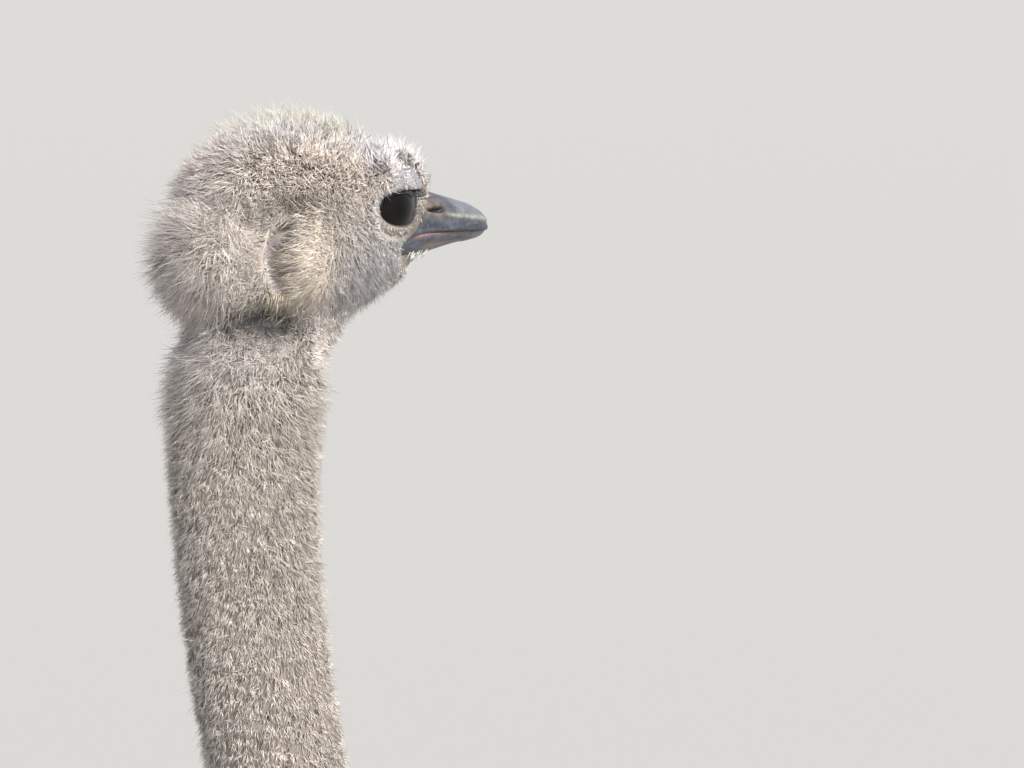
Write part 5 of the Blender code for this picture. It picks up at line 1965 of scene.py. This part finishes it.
# The brown tip tint of the black feathers is painted sheen.
black_look = feather_finish(
    "black ostrich feathers, loose soft barbs",
    dark="#0b0b0d", pale="#232427", tip_tint="#37302a", rough=0.55, sheen=0.15, through_share=0.08,
)
white_look = feather_finish(
    "white ostrich plumes, limp barbs, dust-worn tips",
    dark="#c9c2b6", pale="#f0ece4", tip_tint="#d9cdb9", rough=0.7, sheen=0.3, through_share=0.30,
)
bill_look, eye_look = bill_finish(), eye_finish()
claw_look = horn_finish(
    "claw horn, dark keratin, scuffed",
    dark="#2e2925", pale="#5c5249", grain_mm=4, rough=0.42, depth_mm=0.4,
)
eyeballs = [bpy.data.objects[f"eyeball_{hand}"] for hand, _ in HANDS]
for piece in eyeballs:
    d = to_head(coordinates(piece.data))[:, (0, 2)] - LID_CENTRE
    paint(piece, "iris", np.hypot(d[:, 0], d[:, 1]))
    cover(piece, eye_look)
for piece in bills:
    cover(piece, bill_look)
for piece in coats:
    cover(piece, black_look if piece.name.startswith("feathers") else down_look)
for piece in white:
    cover(piece, white_look)

scute_look = horn_finish(
    "scutes, worn horn over skin",
    dark="#54483f", pale="#83766a", grain_mm=5, rough=0.5, depth_mm=0.3,
)
scutes = grown_scutes(scute_look, thickness=0.05, lift=0.05)

claws = []
for kind in ("claw_main", "claw_outer"):
    for hand, _ in HANDS:
        bm = bmesh.new()
        bm.from_mesh(nodes[f"{kind}_{hand}"].data)
        bmesh.ops.remove_doubles(bm, verts=bm.verts, dist=WELD)
        claw = own_object(f"{kind}_horn_{hand}", bm)
        smooth = claw.modifiers.new("rounder", "SUBSURF")
        smooth.levels = smooth.render_levels = 2
        settle(claw)
        claw.data.shade_smooth()
        cover(claw, claw_look)
        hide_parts(f"{kind}_{hand}")
        claws.append(claw)

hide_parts(*FLESH, *(f"{limb}_{hand}" for limb in ("wing", *LIMBS) for hand, _ in HANDS))
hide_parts("bill_upper")
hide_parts("bill_lower")
for piece, (hand, _) in zip(eyeballs, HANDS):
    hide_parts(f"eye_{hand}")
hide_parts("tail")
for piece, (hand, _) in zip(white[1:], HANDS):
    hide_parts(f"wing_quills_{hand}")
slots = [(skin, "bare_skin"), (scutes, "leg_scales")]
for piece in coats:
    black = piece.name.startswith("feathers")
    slots.append((piece, "black_plumage" if black else "neck_down"))
slots += [(piece, "white_plumes") for piece in white]
slots += [(piece, "bill_horn") for piece in bills]
slots += [(piece, "wet_eye") for piece in eyeballs]
slots += [(piece, "claw_horn") for piece in claws]
for piece, slot in slots:
    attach(piece, "root")
print("pieces:", [piece.name for piece, _ in slots])

# %% [markdown]
# ## Floor, light and camera
#
# A plain pale floor, a high soft key light from the camera's right, and a weak fill from its left.
# The camera stands to the right of the bird and behind it, a little over the height of its head,
# and looks at the head through a long lens.

# %% Floor, light and camera
FLOOR_RADIUS, FLOOR_TINT = 160.0, "#a09e9b"
bm = bmesh.new()
bmesh.ops.create_circle(bm, cap_ends=True, segments=96, radius=FLOOR_RADIUS)
floor = own_object("floor", bm)
cover(floor, plain_finish("floor, matt pale paper", FLOOR_TINT, 0.9))


def sun(name, way, strength, angle, code):
    """A light from far off. Its way points from the bird to the light."""
    data = bpy.data.lights.new(name, "SUN")
    data.energy, data.angle, data.color = strength, math.radians(angle), colour(code)[:3]
    lamp = bpy.data.objects.new(name, data)
    lamp.rotation_euler = Vector(way).to_track_quat("Z", "Y").to_euler()
    bpy.context.scene.collection.objects.link(lamp)


HEADING, PITCH = math.radians(-50.0), math.radians(-8.6)
CAMERA_PLACE = (-0.3192, -0.9406, 2.2637)
LENS, SENSOR = 105.47, 36.0
KEY, FILL = (6.4, 14, "#fff9f2"), (0.4, 60, "#dfe8ff")  # strength, angle in degrees, colour
ROOM_TINT, ROOM_LIGHT = "#d5dbe2", 1.2
FAR_END = "#dddcd9"  # as bright as the floor
right = Vector((math.cos(HEADING), math.sin(HEADING), 0))
back = Vector((math.sin(HEADING), -math.cos(HEADING), 0))
sun("key", 0.70 * right + 1.00 * back + Vector((0, 0, 0.80)), *KEY)
sun("fill", -0.9 * right + 0.6 * back + Vector((0, 0, 0.5)), *FILL)
scene = bpy.context.scene
scene.world = bpy.data.worlds.new("soft room")
scene.world.use_nodes = True
world = scene.world.node_tree
background = world.nodes["Background"]
background.inputs["Color"].default_value = colour(ROOM_TINT)
background.inputs["Strength"].default_value = ROOM_LIGHT
far = add(world, "ShaderNodeBackground", {"Color": colour(FAR_END), "Strength": 1.0})
seen = add(world, "ShaderNodeLightPath", out="Is Camera Ray")
both = add(world, BOTH, {0: seen, 1: background.outputs[0], 2: far})
world.links.new(both, world.nodes["World Output"].inputs["Surface"])
scene.view_settings.view_transform = "Standard"
camera = bpy.data.objects.new("camera", bpy.data.cameras.new("camera"))
camera.data.lens, camera.data.sensor_width = LENS, SENSOR
camera.data.clip_start, camera.data.clip_end = 0.05, 400
camera.location = CAMERA_PLACE
camera.rotation_euler = (math.pi / 2 + PITCH, 0, HEADING)
scene.collection.objects.link(camera)
scene.camera = camera
